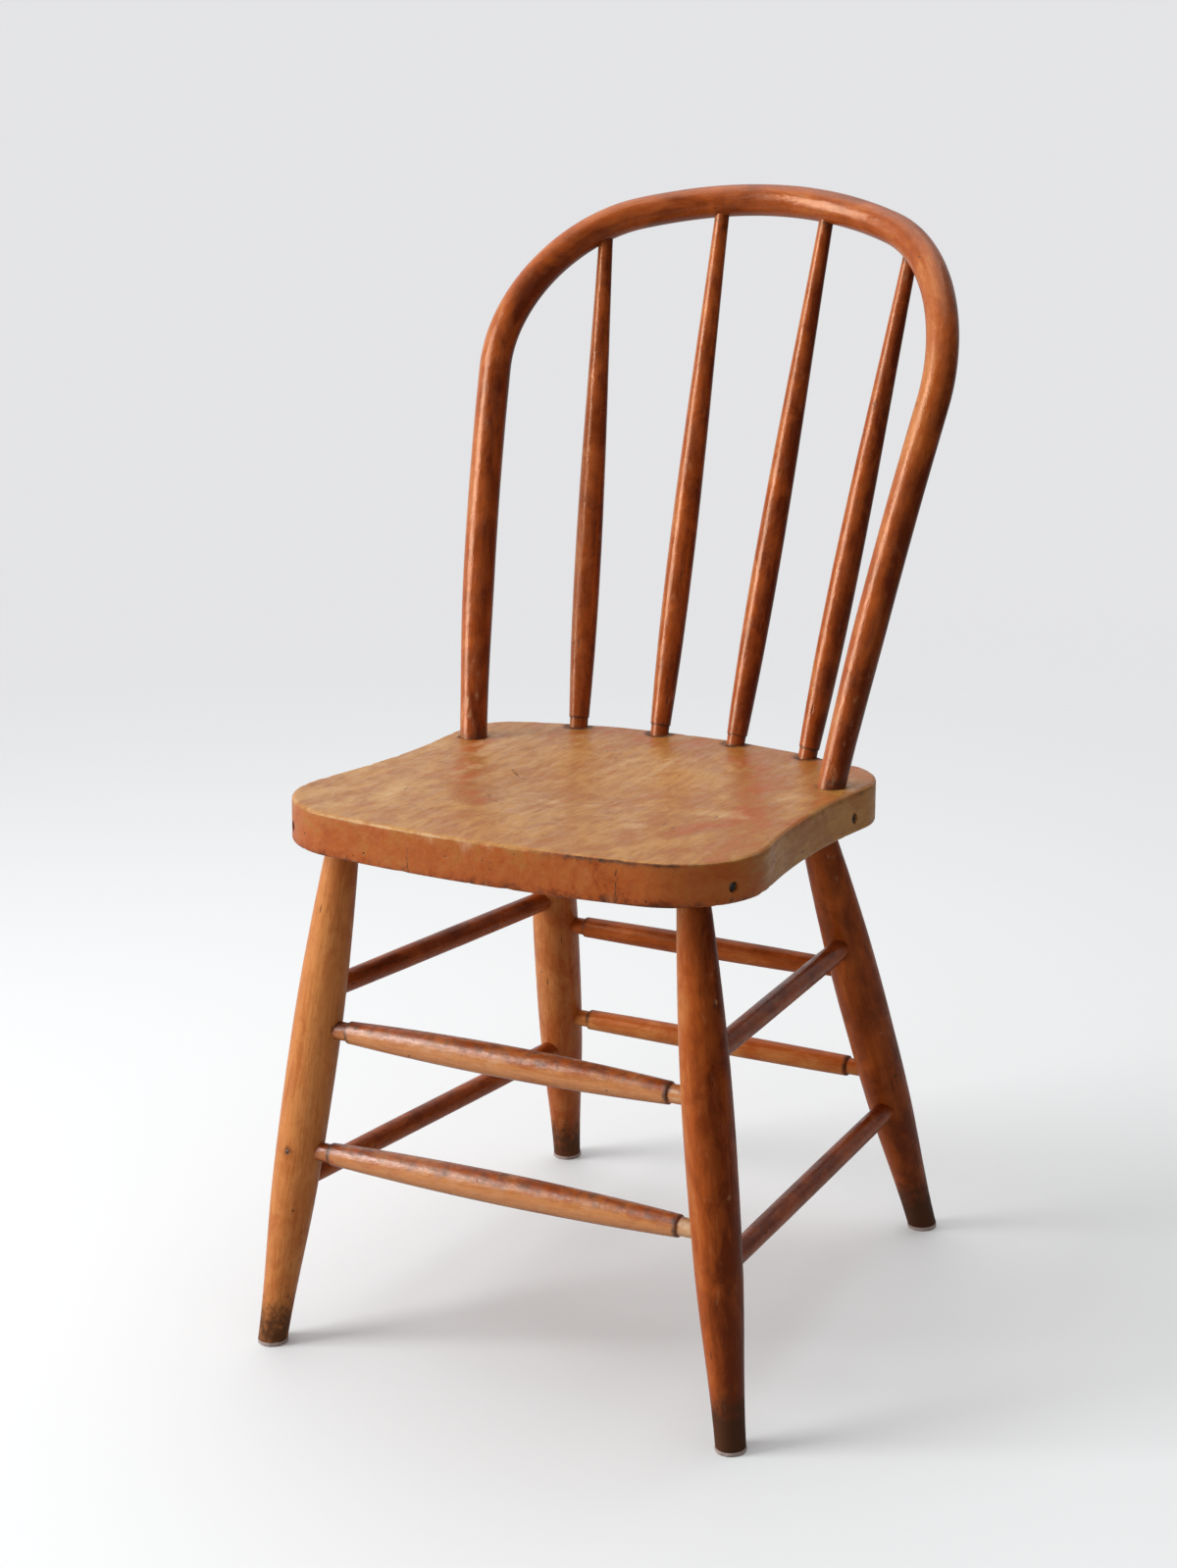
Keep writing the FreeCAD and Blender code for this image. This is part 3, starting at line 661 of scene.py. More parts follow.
def round_piece(name, centres, radii, material, shift=(0, 0, 0)):
    """A round piece along a centre line. shift moves it to its own part of the wood's pattern."""
    line = points_object(name, centres, [(i, i + 1) for i in range(len(centres) - 1)], radius_here=radii)
    stock = settings().stock
    tree = shared(bpy.data.node_groups, "round_stock", round_stock_tree)
    piece = grown(line, tree, sides=stock.sides, unevenness=stock.unevenness, grain_shift=shift,
                  material=material)
    for spare in ("radius_here", "rim"):
        layer = piece.data.attributes.get(spare)
        if layer:
            piece.data.attributes.remove(layer)
    return piece


def grain_shift(index):
    """Moves each piece to its own part of the pattern."""
    return (0.31 * index, 0.17 * index, 0.53 * index)


def turned_piece(node, material, index, overrun=0.0):
    """A turned piece over its frame node, with its own profile. overrun makes it longer at its low end."""
    low, high, axis = rod_ends(node)
    profile = thinned(rod_profile(node, low, high, axis), settings().stock.longest_step)
    if overrun:
        profile.insert(0, (-overrun, profile[0][1]))
    reaches, radii = zip(*profile)
    centres = [low + axis * at for at in reaches]
    return round_piece("turned_" + node, centres, radii, material, grain_shift(index))


# Legs

class CHAIR_OT_legs(bpy.types.Operator):
    """Turn the four legs"""
    bl_idname = "chair.legs"
    bl_label = "Legs"

    def execute(self, context):
        overrun = 0.006
        # Depth of varnish, and the strength of the painted shade on the side away from the window and the
        # painted light on the side towards it
        varnish = {"front_left": (0.0, 0.06), "front_right": (0.53, 0.44), "rear_left": (0.18, 0.14),
                   "rear_right": (0.56, 0.22)}
        material = varnished("varnished_legs", 36, 0.19, 0.32, (0.42, 1.0, 0.55, 0.30))
        joints = joint_places()
        for index, leg in enumerate(LEGS):
            node = "leg_" + leg
            piece = turned_piece(node, material, index, overrun)
            saw_level(piece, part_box(node)[0].z)
            leg_finish(piece, *varnish[leg], joints)
            hand_over(piece, node)
        return {"FINISHED"}


def saw_level(piece, height):
    """Cuts off what lies below a height."""
    with worked(piece.data) as work:
        saw(work, (0, 0, height), (0, 0, -1))
        bmesh.ops.recalc_face_normals(work, faces=work.faces[:])


def leg_finish(piece, depth, turned, joints):
    """Dirty feet and joints, faint worn rings round the leg, and painted shade on the side away from the
    window with painted light on the side towards it.
    """
    foot_dirt = (0.075, 0.010)
    rings = (0.197, 0.341, 0.360)
    ring_half, joint_half = 0.003, 0.012
    points = vertex_values(piece.data)
    right, back, _ = outward(piece)
    height = points[:, 2]
    top = height.max()
    dirt = most(eased(height, *foot_dirt) * (0.72 + 0.5 * depth), nearness(points, joints, joint_half) * 0.75,
                eased(height, top - 0.034, top - 0.020) * 0.35)
    worn_rings = [0.42 * depth * eased(np.abs(height - ring), ring_half, 0) for ring in rings]
    wear = most(0.07 * np.sin(height * 23 + depth * 9) ** 2 - 0.04, *worn_rings)
    low = eased(height, 0.24, 0.04)
    # The depth is raised on the right side and lowered on the left: painted shade and painted light from the
    # window
    store_finish(piece.data, dirt, wear, depth + turned * right - 0.05 * back + (0.10 + 0.18 * depth) * low)


# Stretchers

class CHAIR_OT_stretchers(bpy.types.Operator):
    """Turn the eight stretchers"""
    bl_idname = "chair.stretchers"
    bl_label = "Stretchers"

    def execute(self, context):
        glossy = varnished("glossy_stretchers", 44, 0.24, 0.23, (1.0, 1.0, 0.95, 0.90))
        plain = varnished("plain_stretchers", 40, 0.20, 0.28, (0.45, 1.0, 0.48, 0.22))
        for index, (place, level) in enumerate(STRETCHERS):
            node = f"stretcher_{place}_{level}"
            piece = turned_piece(node, glossy if place == "front" else plain, 10 + index)
            stretcher_finish(piece, place, level)
            hand_over(piece, node)
        return {"FINISHED"}


def stretcher_finish(piece, place, level):
    """In front brown on top and golden below with bare necks and painted shade on the underside, plainer at
    the back and sides.
    """
    neck, neck_edge, shoulder_half, dark_end = 0.036, 0.003, 0.005, 0.020
    low, high, axis = rod_ends(f"stretcher_{place}_{level}")
    length = (high - low).length
    along = (vertex_values(piece.data) - np.array(low)) @ np.array(axis)
    from_end = np.minimum(along, length - along)
    _, back, upward = outward(piece)
    on_top = eased(upward, 0.05, 0.75)
    dirt = 0.25 * eased(from_end, neck * 0.9, neck * 0.5)
    wear = 0
    if place in ("front", "rear"):
        dirt = most(dirt, 0.7 * eased(np.abs(from_end - neck), shoulder_half, 0))
    if place == "front":
        bare_neck = eased(along, length - neck, length - neck + neck_edge)
        dirt = most(dirt, 0.42 * on_top)
        wear = most(0.10 + 0.06 * on_top, bare_neck * {"upper": 0.30, "lower": 0.66}[level])
        # The downward-facing underside is darkened: painted shade
        depth = 0.05 + 0.42 * on_top + 0.5 * eased(upward, -0.45, -0.95) - 0.15 * eased(back, -0.3, -0.9)
        depth += 0.3 * eased(along, neck + dark_end, neck) - 0.3 * bare_neck
    elif place == "rear":
        depth = {"upper": 0.50, "lower": 0.20}[level] + 0.25 * on_top
    else:
        depth = {"left": 0.60, "right": 0.72}[place] + 0.2 * on_top
    store_finish(piece.data, dirt, wear, depth)


# Bow

class CHAIR_OT_bow(bpy.types.Operator):
    """Bend the bow"""
    bl_idname = "chair.bow"
    bl_label = "Bow"

    def execute(self, context):
        material = varnished("varnished_bow", 34, 0.20, 0.21, (0.9, 1.0, 0.66, 0.44))
        centres = bow_centres()
        seat = centres[0].z
        radii = [bow_radius(centre.z - seat) for centre in centres]
        right_tenon, left_tenon = tenon_end(*centres[:2]), tenon_end(*centres[:-3:-1])
        piece = round_piece("bent_bow", [right_tenon, *centres, left_tenon], [radii[0], *radii, radii[-1]],
                            material, grain_shift(20))
        bow_finish(piece, seat)
        hand_over(piece, "bow")
        return {"FINISHED"}


def tenon_end(foot, above):
    """The end of the tenon that runs on from a foot of the bow, away from the point above it."""
    return foot + (foot - above).normalized() * settings().bow.tenon


def bow_finish(piece, seat):
    """Redder at the right post, golden inside the right shoulder, smudged in places, dirty at the feet, with
    painted shade on the side away from the window and under the right half, painted light on the window side
    and on top of the right half, and pale wear with painted sheen at the front of the feet.
    """
    smudges = ((0.198, 0.12, 0.735), (0.19, 0.13, 0.71), (-0.196, 0.12, 0.72), (0.128, 0.19, 0.845))
    smudge_half = 0.007
    points = vertex_values(piece.data)
    x, _, height = points.T
    to_right, back, upward = outward(piece)
    dirt = 0.55 * eased(height, seat + 0.016, seat + 0.002)
    dirt = most(dirt, 0.5 * nearness(points, smudges, smudge_half))
    right = eased(x, 0.05, 0.17)
    shoulder = right * eased(height, seat + 0.20, seat + 0.27) * eased(height, 0.845, 0.80)
    # Painted shade on the right-facing side and under the right half, painted light on the left-facing side
    # and on top of the right half
    depth = 0.60 + 0.33 * to_right + right * (0.08 - 0.18 * upward) - 0.13 * shoulder * eased(back, 0.3, -0.6)
    # Pale at the front of the feet: partly wear, partly painted sheen
    wear = 0.16 * eased(height, seat + 0.11, seat + 0.05) * eased(back, 0, -0.8)
    store_finish(piece.data, dirt, wear, depth)


def bow_radius(height):
    """The bow thins out smoothly towards its feet."""
    sizes = settings().bow
    share = eased(height, 0, sizes.taper_height)
    return (sizes.foot_diameter + (sizes.diameter - sizes.foot_diameter) * float(share)) / 2


def arc(centre, start, end, step):
    """Points round the short arc from start to end, without its start, in the plane of the first two axes."""
    a = math.atan2(start.y - centre.y, start.x - centre.x)
    turn = (math.atan2(end.y - centre.y, end.x - centre.x) - a + math.pi) % (2 * math.pi) - math.pi
    radius = (start - centre).length
    count = max(1, math.ceil(abs(turn) * radius / step))
    angles = [a + turn * (i + 1) / count for i in range(count)]
    return [centre + Vector((math.cos(t), math.sin(t))) * radius for t in angles]


def bow_front_view(step):
    """Right half of the bow as seen from the front: post, shoulder and crown, from the foot to the top."""
    sizes = settings().bow
    foot = Vector((sizes.foot_x, 0))
    post = Vector((math.sin(sizes.splay), math.cos(sizes.splay)))
    inward = Vector((-post.y, post.x))
    crown = Vector((0, sizes.height - sizes.crown_radius))
    offset = foot + inward * sizes.shoulder_radius - crown
    spread = sizes.crown_radius - sizes.shoulder_radius
    lean_in = offset.dot(post)
    post_length = -lean_in + math.sqrt(lean_in ** 2 - offset.dot(offset) + spread ** 2)
    shoulder_start = foot + post * post_length
    shoulder = shoulder_start + inward * sizes.shoulder_radius
    shoulder_end = crown + (shoulder - crown).normalized() * sizes.crown_radius
    count = math.ceil(post_length / step)
    half = [foot + post * (post_length * i / count) for i in range(count + 1)]
    half += arc(shoulder, shoulder_start, shoulder_end, step)
    return half + arc(crown, shoulder_end, Vector((0, sizes.height)), step)


def bow_centres():
    """Centre line of the bow, leaning back and wrapped round the sitter, from right foot to left foot."""
    sizes = settings().bow
    step = 0.004
    half = []
    seat = seat_top_height(sizes.foot_back)
    for flat in bow_front_view(step):
        wrap = (sizes.foot_x ** 2 - flat.x ** 2) / (2 * sizes.plan_radius)
        back = sizes.foot_back + sizes.lean * flat.y + flat.y ** 2 / (2 * sizes.back_radius) + wrap
        half.append(Vector((flat.x, back + seat_middle(), seat + flat.y)))
    left = [Vector((-p.x, p.y, p.z)) for p in half[:-1]]
    return half + left[::-1]


# Spindles

class CHAIR_OT_spindles(bpy.types.Operator):
    """Turn the four spindles"""
    bl_idname = "chair.spindles"
    bl_label = "Spindles"

    def execute(self, context):
        material = varnished("varnished_spindles", 50, 0.20, 0.20, (0.9, 1.0, 0.66, 0.44))
        for index, (row, side) in enumerate(SPINDLES):
            node = f"spindle_{row}_{side}"
            piece = turned_piece(node, material, 30 + index)
            spindle_finish(piece, 0.60 + 0.05 * SIGN[side])
            hand_over(piece, node)
        return {"FINISHED"}


def spindle_finish(piece, depth):
    """Dirty where the spindle meets the seat and at its shoulder, with painted shade on the side away from
    the window and painted light on the side towards it.
    """
    shoulder, shoulder_half = 0.0245, 0.004
    along = vertex_values(piece.data, "grain")[:, 2]
    along = along - along.min()
    top = along.max()
    dirt = most(0.65 * eased(np.abs(along - shoulder), shoulder_half, 0), 0.7 * eased(along, 0.022, 0.014),
                0.4 * eased(along, top - 0.022, top - 0.012))
    # The depth is raised on the right side and lowered on the left: painted shade and painted light
    store_finish(piece.data, dirt, 0.02, depth + 0.33 * outward(piece)[0])


# Seat

def circle_meeting(centre_a, reach_a, centre_b, reach_b, side):
    """Where two circles cross, on the given side of the line from a to b."""
    line = centre_b - centre_a
    distance = line.length
    foot = (reach_a ** 2 - reach_b ** 2 + distance ** 2) / (2 * distance)
    height = math.sqrt(reach_a ** 2 - foot ** 2)
    line.normalize()
    return centre_a + line * foot + Vector((-line.y, line.x)) * height * side


def seat_outline(step):
    """Points and outward directions round the seat, anticlockwise from the middle of its front edge."""
    sizes = settings().seat
    hollow, side_radius = Vector((sizes.waist_half + sizes.side_hollow, sizes.waist_back)), sizes.side_hollow
    front = Vector((0, sizes.front_radius - sizes.depth / 2))
    rear = Vector((0, sizes.depth / 2 - sizes.rear_radius))
    front_corner = circle_meeting(front, sizes.front_radius - sizes.front_corner, hollow,
                                  side_radius + sizes.front_corner, -1)
    rear_corner = circle_meeting(rear, sizes.rear_radius - sizes.rear_corner, hollow,
                                 side_radius + sizes.rear_corner, 1)
    a = front + (front_corner - front).normalized() * sizes.front_radius
    b = hollow + (front_corner - hollow).normalized() * side_radius
    c = hollow + (rear_corner - hollow).normalized() * side_radius
    d = rear + (rear_corner - rear).normalized() * sizes.rear_radius
    start, end = Vector((0, -sizes.depth / 2)), Vector((0, sizes.depth / 2))
    half = []
    arcs = ((front, start, a, 1), (front_corner, a, b, 1), (hollow, b, c, -1), (rear_corner, c, d, 1),
            (rear, d, end, 1))
    for centre, first, last, sign in arcs:
        half += [(p, (p - centre).normalized() * sign) for p in arc(centre, first, last, step)]
    mirror = [(Vector((-p.x, p.y)), Vector((-n.x, n.y))) for p, n in half[:-1]]
    return [(start, Vector((0, -1)))] + half + mirror[::-1]


def seam_columns():
    """Where extra points lie beside the glue joints, from left to right."""
    return [seam + row for seam in SEAMS.values() for row in SEAM_ROWS]


def with_seam_points(outline):
    """Adds points beside the glue joints to the front and rear edges."""
    clearance = 1e-5
    whole = []
    for (p, n), (q, m) in zip(outline, outline[1:] + outline[:1]):
        low, high = min(p.x, q.x) + clearance, max(p.x, q.x) - clearance
        shares = sorted((column - p.x) / (q.x - p.x) for column in seam_columns() if low < column < high)
        whole += [(p, n)] + [(p.lerp(q, share), n.lerp(m, share).normalized()) for share in shares]
    return whole


def dish_drop(x, y):
    """Depth of the seat's hollow: a bottom arc that eases into a rim arc."""
    sizes = settings().seat
    drop = sizes.dish_depth + sizes.dish_lip
    half_run = sizes.dish_radius / 2
    bend = (half_run ** 2 + (drop / 2) ** 2) / drop
    r = np.minimum(np.hypot(x, y - sizes.dish_back), sizes.dish_radius)
    bowl = -sizes.dish_depth + bend - np.sqrt(bend ** 2 - np.minimum(r, half_run) ** 2)
    rim = sizes.dish_lip - bend + np.sqrt(bend ** 2 - (sizes.dish_radius - np.maximum(r, half_run)) ** 2)
    return np.minimum(np.where(r < half_run, bowl, rim), 0)


def inner_sheet(loop, step):
    """Triangles that fill a flat loop, on a grid with extra rows beside the glue joints."""
    low_x, high_x = min(p.x for p in loop), max(p.x for p in loop)
    low_y = min(p.y for p in loop)
    columns = [low_x + step * i for i in range(1, int((high_x - low_x) / step))]
    columns = [x for x in columns if min(abs(x - seam) for seam in seam_columns()) > step / 2]
    ends = loop[1:] + loop[:1]
    points = []
    for column in sorted(columns + seam_columns()):
        crossings = sorted(a.y + (b.y - a.y) * (column - a.x) / (b.x - a.x)
                           for a, b in zip(loop, ends) if (a.x <= column) != (b.x <= column))
        for low, high in zip(crossings[::2], crossings[1::2]):
            first = math.ceil((low + step / 2 - low_y) / step)
            last = math.floor((high - step / 2 - low_y) / step)
            points += [Vector((column, low_y + step * i)) for i in range(first, last + 1)]
    edges = [(i, (i + 1) % len(loop)) for i in range(len(loop))]
    inside_only, tolerance = 1, 1e-7
    return geometry.delaunay_2d_cdt(list(loop) + points, edges, [], inside_only, tolerance)


def seat_rings():
    """Inset and height of each ring of points up the seat's edge: lower arris, wall and upper arris."""
    sizes = settings().seat
    steps = 6
    low, high = sizes.bottom_round, sizes.top_round
    wall = sizes.thickness - low - high
    rows = round(wall / sizes.mesh_step)
    turns = [math.pi / 2 * i / steps for i in range(steps + 1)]
    rings = [(low * (1 - math.sin(turn)), -sizes.thickness + low * (1 - math.cos(turn))) for turn in turns]
    rings += [(0, -sizes.thickness + low + wall * i / rows) for i in range(1, rows)]
    return rings + [(high * (1 - math.cos(turn)), -high * (1 - math.sin(turn))) for turn in turns]


def seat_shell():
    """The whole seat as one closed shell in its own flat plane, before it is hollowed."""
    outline_step = 0.0025
    step = settings().seat.mesh_step
    outline = with_seam_points(seat_outline(outline_step))
    rings = seat_rings()
    count = len(outline)
    vertices = [(p.x - n.x * inset, p.y - n.y * inset, height) for inset, height in rings for p, n in outline]
    faces = []
    for base in range(0, count * (len(rings) - 1), count):
        for i in range(count):
            j = (i + 1) % count
            faces.append((base + i, base + j, base + count + j, base + count + i))
    # The top has fine triangles, and the underside coarse ones that face down
    for row, sheet_step, order in ((len(rings) - 1, step, 1), (0, step * 3, -1)):
        inset, height = rings[row]
        found, _, triangles, _, _, _ = inner_sheet([p - n * inset for p, n in outline], sheet_step)
        names = [row * count + i if i < count else len(vertices) + i - count for i in range(len(found))]
        vertices += [(p.x, p.y, height) for p in found[count:]]
        faces += [tuple(names[i] for i in triangle)[::order] for triangle in triangles]
    return np.array(vertices), faces, outline


def waves(x, y):
    """Depth of the gentle waves that years of use leave in the top, 0 to 1."""
    swell = np.sin(x * 61 + y * 17) + np.sin(y * 47 - x * 29 + 1.3) + 0.6 * np.sin(x * 113 + y * 71 + 0.7)
    return (swell + 2.6) / 5.2


def knock_arrises(flat, outline):
    """Small knocks that flatten the top and bottom arrises at random places."""
    sizes = settings().seat
    top_share, reaches, depths = 0.6, (0.003, 0.009), (0.0003, 0.0009)
    chance = np.random.default_rng(sizes.knock_seed)
    for _ in range(sizes.knocks):
        place, way = outline[chance.integers(len(outline))]
        on_top = chance.random() < top_share
        at = np.array((place.x, place.y, 0 if on_top else -sizes.thickness))
        reach = chance.uniform(*reaches)
        depth = chance.uniform(*depths)
        inward = np.array((-way.x, -way.y, -1 if on_top else 1)) / math.sqrt(2)
        near = eased(np.linalg.norm((flat - at) * (1, 1, 1.6), axis=1), reach, 0)
        flat += inward * (near * depth)[:, None]


class CHAIR_OT_seat(bpy.types.Operator):
    """Glue up and hollow the seat"""
    bl_idname = "chair.seat"
    bl_label = "Seat"

    def execute(self, context):
        sizes = settings().seat
        tones = ("tan", "honey", "amber", "orange", "dark")
        material = varnished("worn_seat", 38, 0.20, 0.36, (0.5, 1.0, 0.82, 0.58), tones, (0.22, 0.1, 0.12))
        flat, faces, outline = seat_shell()
        x, y, height = flat.T
        top = height > -sizes.top_round / 2
        flat[:, 2] += np.where(top, dish_drop(x, y) - sizes.wave_depth * waves(x, y), 0)
        knock_arrises(flat, outline)
        mesh = bpy.data.meshes.new("seat")
        mesh.from_pydata((flat @ seat_tilt().T + (0, seat_middle(), sizes.height)).tolist(), [], faces)
        whole = linked("seat", mesh)
        drill_screw_holes(whole)
        saw_boards(whole, material)
        return {"FINISHED"}


def drill_screw_holes(seat):
    """Cuts the screws' sunk holes into the edge of the seat."""
    sizes = settings().hardware
    radius = sizes.head_radius + sizes.hole_clearance
    flare = sizes.hole_clearance * 0.4
    cutter = bpy.data.meshes.new("cutter")
    with worked(cutter) as work:
        for head, axis, _ in screw_places():
            turn = axis.to_track_quat("Z", "Y").to_matrix().to_4x4()
            middle = head - axis * sizes.head_height + axis * sizes.hole_reach / 2
            bmesh.ops.create_cone(work, cap_ends=True, segments=36, radius1=radius, radius2=radius + flare,
                                  depth=sizes.hole_reach, matrix=Matrix.Translation(middle) @ turn)
    tool = linked("cutter", cutter)
    modifier = seat.modifiers.new("holes", "BOOLEAN")
    modifier.object = tool
    modifier.solver = "EXACT"
    drilled = evaluated_mesh(seat)
    seat.modifiers.clear()
    seat.data = drilled
    bpy.data.objects.remove(tool)


def saw_boards(whole, material):
    """Saws the seat along its glue joints into boards that stand for the frame's boards."""
    snap = 1e-6
    # What is sawn off each board: the place of the cut, and the side that goes
    cuts = {"left": [(SEAMS["left"], 1)], "middle": [(SEAMS["left"], -1), (SEAMS["right"], 1)],
            "right": [(SEAMS["right"], -1)]}
    for board, its_cuts in cuts.items():
        piece = linked("dished_board_" + board, whole.data.copy())
        piece.data.name = piece.name
        with worked(piece.data) as work:
            for place, way in its_cuts:
                bmesh.ops.triangulate(work, faces=saw(work, (place, 0, 0), (way, 0, 0), snap))
            bmesh.ops.recalc_face_normals(work, faces=work.faces[:])
            for face in work.faces:
                face.smooth = True
            for edge in work.edges:
                if len(edge.link_faces) == 2 and edge.calc_face_angle() > SHARP_TURN:
                    edge.smooth = False
        paint_board(piece.data)
        piece.data.materials.append(material)
        hand_over(piece, "seat_board_" + board)
    bpy.data.objects.remove(whole)


# Marks on the seat's top: places are to the right and back from its middle
GOLDEN_BANDS = (((-0.148, 0.075), (-0.128, 0.025), (-0.096, -0.040), (-0.057, -0.084)),
                ((0.060, 0.146), (0.100, 0.092), (0.128, 0.020), (0.146, -0.030), (0.120, -0.100)))
SCRATCHES = (((-0.064, -0.054), (-0.052, -0.070), (-0.033, -0.082)),
             ((-0.085, 0.020), (-0.070, 0.004), (-0.050, 0.006)))
# Pale patches, partly wear and partly painted sheen: the middle of each, and its reach to the side and to the
# back
WORN_AND_SHEEN_PATCHES = ((0.030, -0.041, 0.034, 0.010), (0.120, -0.030, 0.026, 0.012), (0.146, 0.034, 0.024, 0.018),
                (0.082, -0.090, 0.026, 0.009), (-0.012, -0.048, 0.024, 0.008), (-0.125, -0.085, 0.040, 0.060),
                (0.005, 0.075, 0.060, 0.050), (-0.150, -0.140, 0.030, 0.035))


def near_line(x, y, corners, width):
    """1 on a line through some corners, 0 at a distance from it."""
    nearest = np.full(len(x), width)
    for (ax, ay), (bx, by) in zip(corners, corners[1:]):
        run_x, run_y = bx - ax, by - ay
        share = np.clip(((x - ax) * run_x + (y - ay) * run_y) / (run_x ** 2 + run_y ** 2), 0, 1)
        nearest = np.minimum(nearest, np.hypot(x - ax - share * run_x, y - ay - share * run_y))
    return eased(nearest, width, 0)


def paint_top(x, y):
    """Dirt, wear and depth of varnish on the sat-on top: golden bands round the dish, pale patches of wear
    and painted sheen.
    """
    band_half, scratch_half = 0.034, 0.0022
    depth = most(0.15, *(0.36 * near_line(x, y, band, band_half) for band in GOLDEN_BANDS))
    depth += 0.16 * eased(y, 0.11, 0.17) + 0.10 * eased(x, 0.10, 0.17)
    wear = 0.08 + 0.24 * eased(x, -0.04, -0.13)
    # Pale patches: partly wear, partly painted sheen
    for patch_x, patch_y, reach_x, reach_y in WORN_AND_SHEEN_PATCHES:
        away = np.hypot((x - patch_x) / reach_x, (y - patch_y) / reach_y)
        wear = most(wear, 0.44 * eased(away, 2.1, 0))
    dirt = most(0.17, *(0.62 * near_line(x, y, scratch, scratch_half) for scratch in SCRATCHES))
    return dirt, wear, depth


def paint_edge(x, y, under):
    """The orange end grain of the edge: darker to the right and below, worn in the middle."""
    thickness = settings().seat.thickness
    in_front = eased(y, -0.085, -0.135)
    low = eased(under, -thickness + 0.010, -thickness + 0.001)
    orange = 0.54 + 0.10 * eased(x, 0.04, 0.11) + 0.20 * low
    depth = orange * in_front + 0.14 * (1 - in_front)
    wear = 0.02 + 0.22 * eased(under, -0.014, -0.004) * eased(np.abs(x + 0.02), 0.06, 0.03) + 0.10 * low
    upper_dirt = 0.34 * (1 - in_front) + 0.34 * in_front * eased(x, 0.03, 0.08) * eased(x, 0.18, 0.155)
    dirt = 0.08 + upper_dirt * eased(under, -0.008, -0.003) + 0.26 * low * in_front
    return dirt, wear, depth


def paint_arris(x, y):
    """The top arris: worn white with a painted highlight at the front left, speckled in the middle, dark at
    the front right.
    """
    in_front = eased(y, -0.12, -0.16)
    # Pale at the front left: partly wear, partly a painted highlight
    rubbed_and_glint = in_front * eased(x, -0.155, -0.135) * eased(x, 0.0, -0.03)
    dark = in_front * eased(x, 0.03, 0.09) * eased(x, 0.18, 0.155)
    dirt = 0.24 + 0.42 * dark - 0.10 * rubbed_and_glint
    wear = 0.20 + 0.38 * rubbed_and_glint - 0.10 * dark
    return dirt, wear, 0.22 + 0.5 * dark


def paint_board(mesh):
    """Stores the grain and the finish of a board, from where its points lie in the seat."""
    sizes, bow = settings().seat, settings().bow
    hole_half, foot_stain = 0.0075, (0.0175, 0.010)
    places = vertex_values(mesh)
    x, y, height = ((places - (0, seat_middle(), sizes.height)) @ seat_tilt()).T
    under = height - dish_drop(x, y)
    arris = eased(under, -sizes.top_round * 1.1, -sizes.top_round * 0.7) * eased(under, -0.0007, -0.0011)
    on_top = eased(under, -0.0012, -0.0008)
    top, edge, rim = paint_top(x, y), paint_edge(x, y, under), paint_arris(x, y)
    dirt, wear, depth = [t * on_top + r * arris + e * (1 - on_top - arris) for t, e, r in zip(top, edge, rim)]
    jagged = 0.0006 * np.sin(under * 900 + x * 20) + 0.0004 * np.sin(under * 400 + 1)
    for side, seam in SEAMS.items():
        crack = eased(np.abs(x - seam - jagged), 0.0010, 0.0002)
        low = eased(under, -0.010, -0.016) if side == "left" else eased(under, -0.004, -0.009)
        dirt = most(dirt, crack * (1 - on_top) * (0.10 + 0.60 * low), 0.22 * crack * on_top)
    dirt = most(dirt, 1.1 * nearness(places, [head for head, _, _ in screw_places()], hole_half))
    bow_feet = [(sign * bow.foot_x, bow.foot_back) for sign in SIGN.values()]
    for foot_x, foot_y in bow_feet + spindle_feet():
        dirt = most(dirt, 0.72 * on_top * eased(np.hypot(x - foot_x, y - foot_y), *foot_stain))
    store_vector(mesh, "grain", np.stack([x, under, y], axis=1))
    store_finish(mesh, dirt, wear, depth)


# Screws, nail and pads

def slotted_screw_tree():
    """Puts a sunk screw with a slotted head on every point, along the point's axis."""
    sizes = ("Head radius", "Head height", "Slot width", "Slot depth", "Length")
    t = Shape("slotted_screw", {size: "Float" for size in sizes})
    radius, height, slot_width, slot_depth, length = [t.given[size] for size in sizes]
    head = t.get("GeometryNodeMeshCylinder", {"Vertices": 40, "Radius": radius, "Depth": height})
    half_down = t.combine(z=t.times(height, -0.5))
    head = t.get("GeometryNodeTransform", {"Geometry": head, "Translation": half_down})
    slot_size = t.combine(t.times(radius, 3.0), slot_width, t.times(slot_depth, 2.0))
    slot = t.get("GeometryNodeMeshCube", {"Size": slot_size})
    head = t.get("GeometryNodeMeshBoolean", {"Mesh 1": head, "Mesh 2": slot}, operation="DIFFERENCE",
                 solver="EXACT")
    shank = t.get("GeometryNodeMeshCone", {"Vertices": 24, "Depth": length,
                                           "Radius Top": t.times(radius, 0.55),
                                           "Radius Bottom": t.times(radius, 0.1)})
    down = t.combine(z=t.times(t.plus(height, length), -1.0))
    shank = t.get("GeometryNodeTransform", {"Geometry": shank, "Translation": down})
    screw = t.add("GeometryNodeJoinGeometry")
    for part in (shank, head):
        t.feed(screw.inputs[0], part)
    along = t.get("FunctionNodeAlignRotationToVector", {"Vector": t.named("axis", "FLOAT_VECTOR")}, axis="Z")
    spin = t.get("FunctionNodeEulerToRotation", {0: t.combine(z=t.named("turn"))})
    way = t.get("FunctionNodeRotateRotation", {0: along, 1: spin}, rotation_space="LOCAL")
    return t.close(t.on_points(screw.outputs[0], way))


